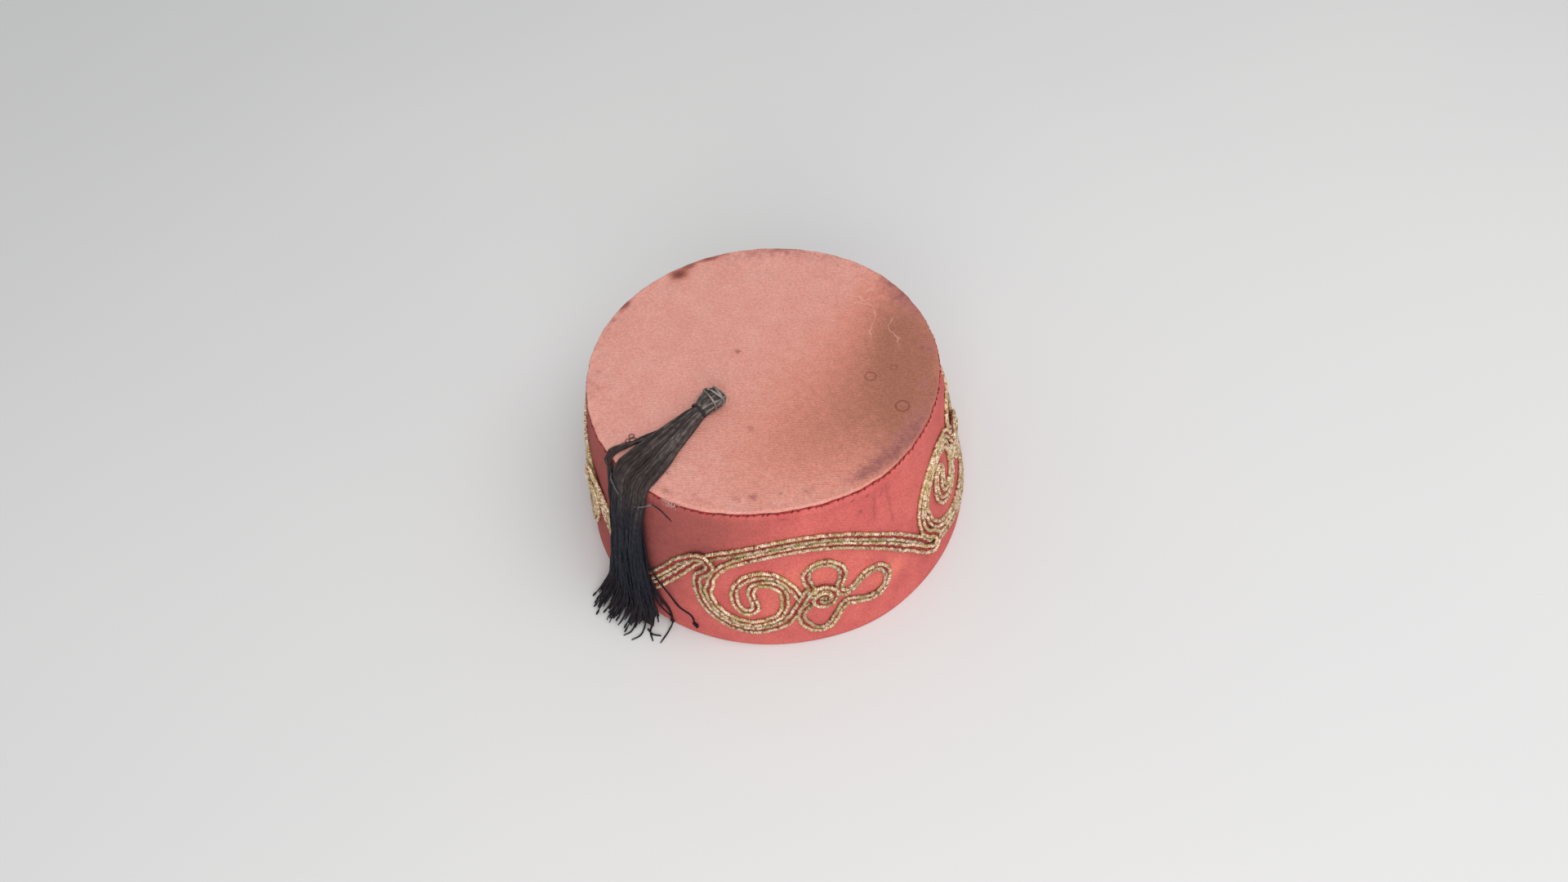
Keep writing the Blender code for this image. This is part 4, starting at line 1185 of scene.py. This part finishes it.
def make_strands(cord):
    batch = Batch()
    for radius, copies, table in LOOSE:
        for _ in range(copies):
            points = []
            for index, (kind, turn, value, lift) in enumerate(table):
                if index and copies > 1:
                    turn = turn + RNG.normal(0, 0.55 if copies > MANY else 0.25)
                    lift = max(lift + RNG.normal(0, 0.35), 0.5) if copies > MANY else lift
                points.append(spot(kind, turn, value, lift))
            if copies > MANY:
                points = points[: RNG.integers(7, len(points) + 1)]
            path = through(points, 0.0012)
            path[:, 2] = np.maximum(path[:, 2], radius + 0.0001)
            share = np.linspace(0, 1, len(path))
            size = radius * (1 - 0.3 * smoothstep((share - 0.9) / 0.1))
            normal = path - np.array([0, AXIS_Y, 0.03])
            tube(batch, path, size, normal, 6, 0, RNG.uniform(0, 1), RNG.uniform(0, 0.01))
    angle = np.linspace(0, 4 * math.pi, 40)
    knot = np.stack([np.cos(angle), 0.4 * np.sin(angle * 1.5), np.sin(angle)], 1) * 0.0008
    for place in KNOTS:
        tube(batch, spot("wall", *place) + knot, 0.00035,
             np.broadcast_to([0.3, -1.0, 0.2], (40, 3)), 5, 0, 0.4)
    for turn, value, size, rounds in LOOPS:
        angle = np.linspace(0, 2 * math.pi * rounds, 30)
        loop = np.stack([np.cos(angle), np.sin(angle), np.abs(0.15 * np.sin(angle * 0.5))], 1) * size
        path = spot("top", turn, value, 0.6) + loop
        tube(batch, path, 0.00016, np.broadcast_to([0, 0, 1.0], (30, 3)), 5, 0, 0.2)
    return batch.make("tassel_strands", [cord])


def make_thread(name, table, step, radius, sides, tone, material):
    batch = Batch()
    path = through([spot("wall", *place) for place in table], step)
    radius = np.linspace(*radius, len(path))
    tube(batch, path, radius, path - np.array([0, AXIS_Y, 0.05]), sides, 0, tone)
    return batch.make(name, [material])


# ---------------------------------------------------------------- stage

def make_stage():
    batch = Batch()
    span = np.linspace(-9.0, 9.0, 9)
    grid = np.stack(np.meshgrid(span, span, indexing="ij") + [np.zeros((9, 9))], -1)
    batch.grid(grid, (span, span), closed=False)
    floor = batch.make("floor", [pale_floor()])
    world = bpy.data.worlds.new("studio")
    bpy.context.scene.world = world
    world.use_nodes = True
    sky = world.node_tree.nodes["Background"]
    sky.inputs[0].default_value = (0.98, 0.99, 1.0, 1.0)
    sky.inputs[1].default_value = 0.53
    for name, place, size, power, colour in (
        ("key", (0.60, 0.20, 1.20), 0.9, 7.5, (1.0, 0.985, 0.96)),
        ("fill", (1.05, -0.95, 0.75), 1.0, 11.0, (1.0, 0.985, 0.97)),
    ):
        light = bpy.data.lights.new(name, "AREA")
        light.size = size
        light.energy = power
        light.color = colour
        lamp = bpy.data.objects.new(name, light)
        bpy.context.collection.objects.link(lamp)
        lamp.location = place
        way = -np.array(place) / np.linalg.norm(place)
        lamp.rotation_euler = (math.acos(-way[2]), 0.0, math.atan2(way[0], -way[1]) + math.pi)
    data = bpy.data.cameras.new("camera")
    data.sensor_width = 36.0
    data.lens = 24.444
    data.clip_start = 0.01
    camera = bpy.data.objects.new("camera", data)
    bpy.context.collection.objects.link(camera)
    camera.location = (0.23733, -0.18961, 0.42997)
    camera.rotation_euler = tuple(math.radians(angle) for angle in (37.5302, 4.3168, 43.4288))
    bpy.context.scene.camera = camera
    bpy.context.scene.view_settings.view_transform = "Standard"


def main():
    dress(make_top(top_felt()), "top_cloth", "crown_top")
    dress(make_side(wall_felt()), "side_cloth", "crown_side")
    crimson = crimson_thread()
    dark = plain_cord("dark_thread", (0.20, 0.01, 0.015), (0.08, 0.004, 0.008))
    fray = plain_cord("frayed_felt", (0.80, 0.52, 0.47), (0.60, 0.26, 0.24))
    dress(make_stitches([crimson, dark]), "side_cloth")
    dress(make_fray(fray), "side_cloth")
    make_braids(gold_thread(), crimson)
    # The last colour given to each silk is the colour of its painted highlight
    black = silk("black_silk", BLACK, (0.135, 0.108, 0.099))
    grey = silk("grey_silk", GREY, (0.30, 0.260, 0.240))
    thread = plain_cord("grey_thread", (0.17, 0.17, 0.18), (0.06, 0.06, 0.07))
    dress(make_skirt(black), "tassel_cord", "tassel")
    dress(make_head(grey), "tassel_cord")
    dress(make_binding(plain_cord("black_thread", (0.03, 0.026, 0.025), (0.008, 0.007, 0.008))),
          "tassel_cord")
    dress(make_strands(black), "tassel_cord")
    dress(make_thread("tassel_thread", THREAD, 0.0008, (0.00032, 0.00032), 6, 0.5, thread), "tassel_cord")
    dress(make_thread("tassel_thread_tail", TAIL, 0.0006, (0.0003, 0.00018), 5, 0.3, black), "tassel_cord")
    make_stage()


main()
bpy.context.view_layer.update()
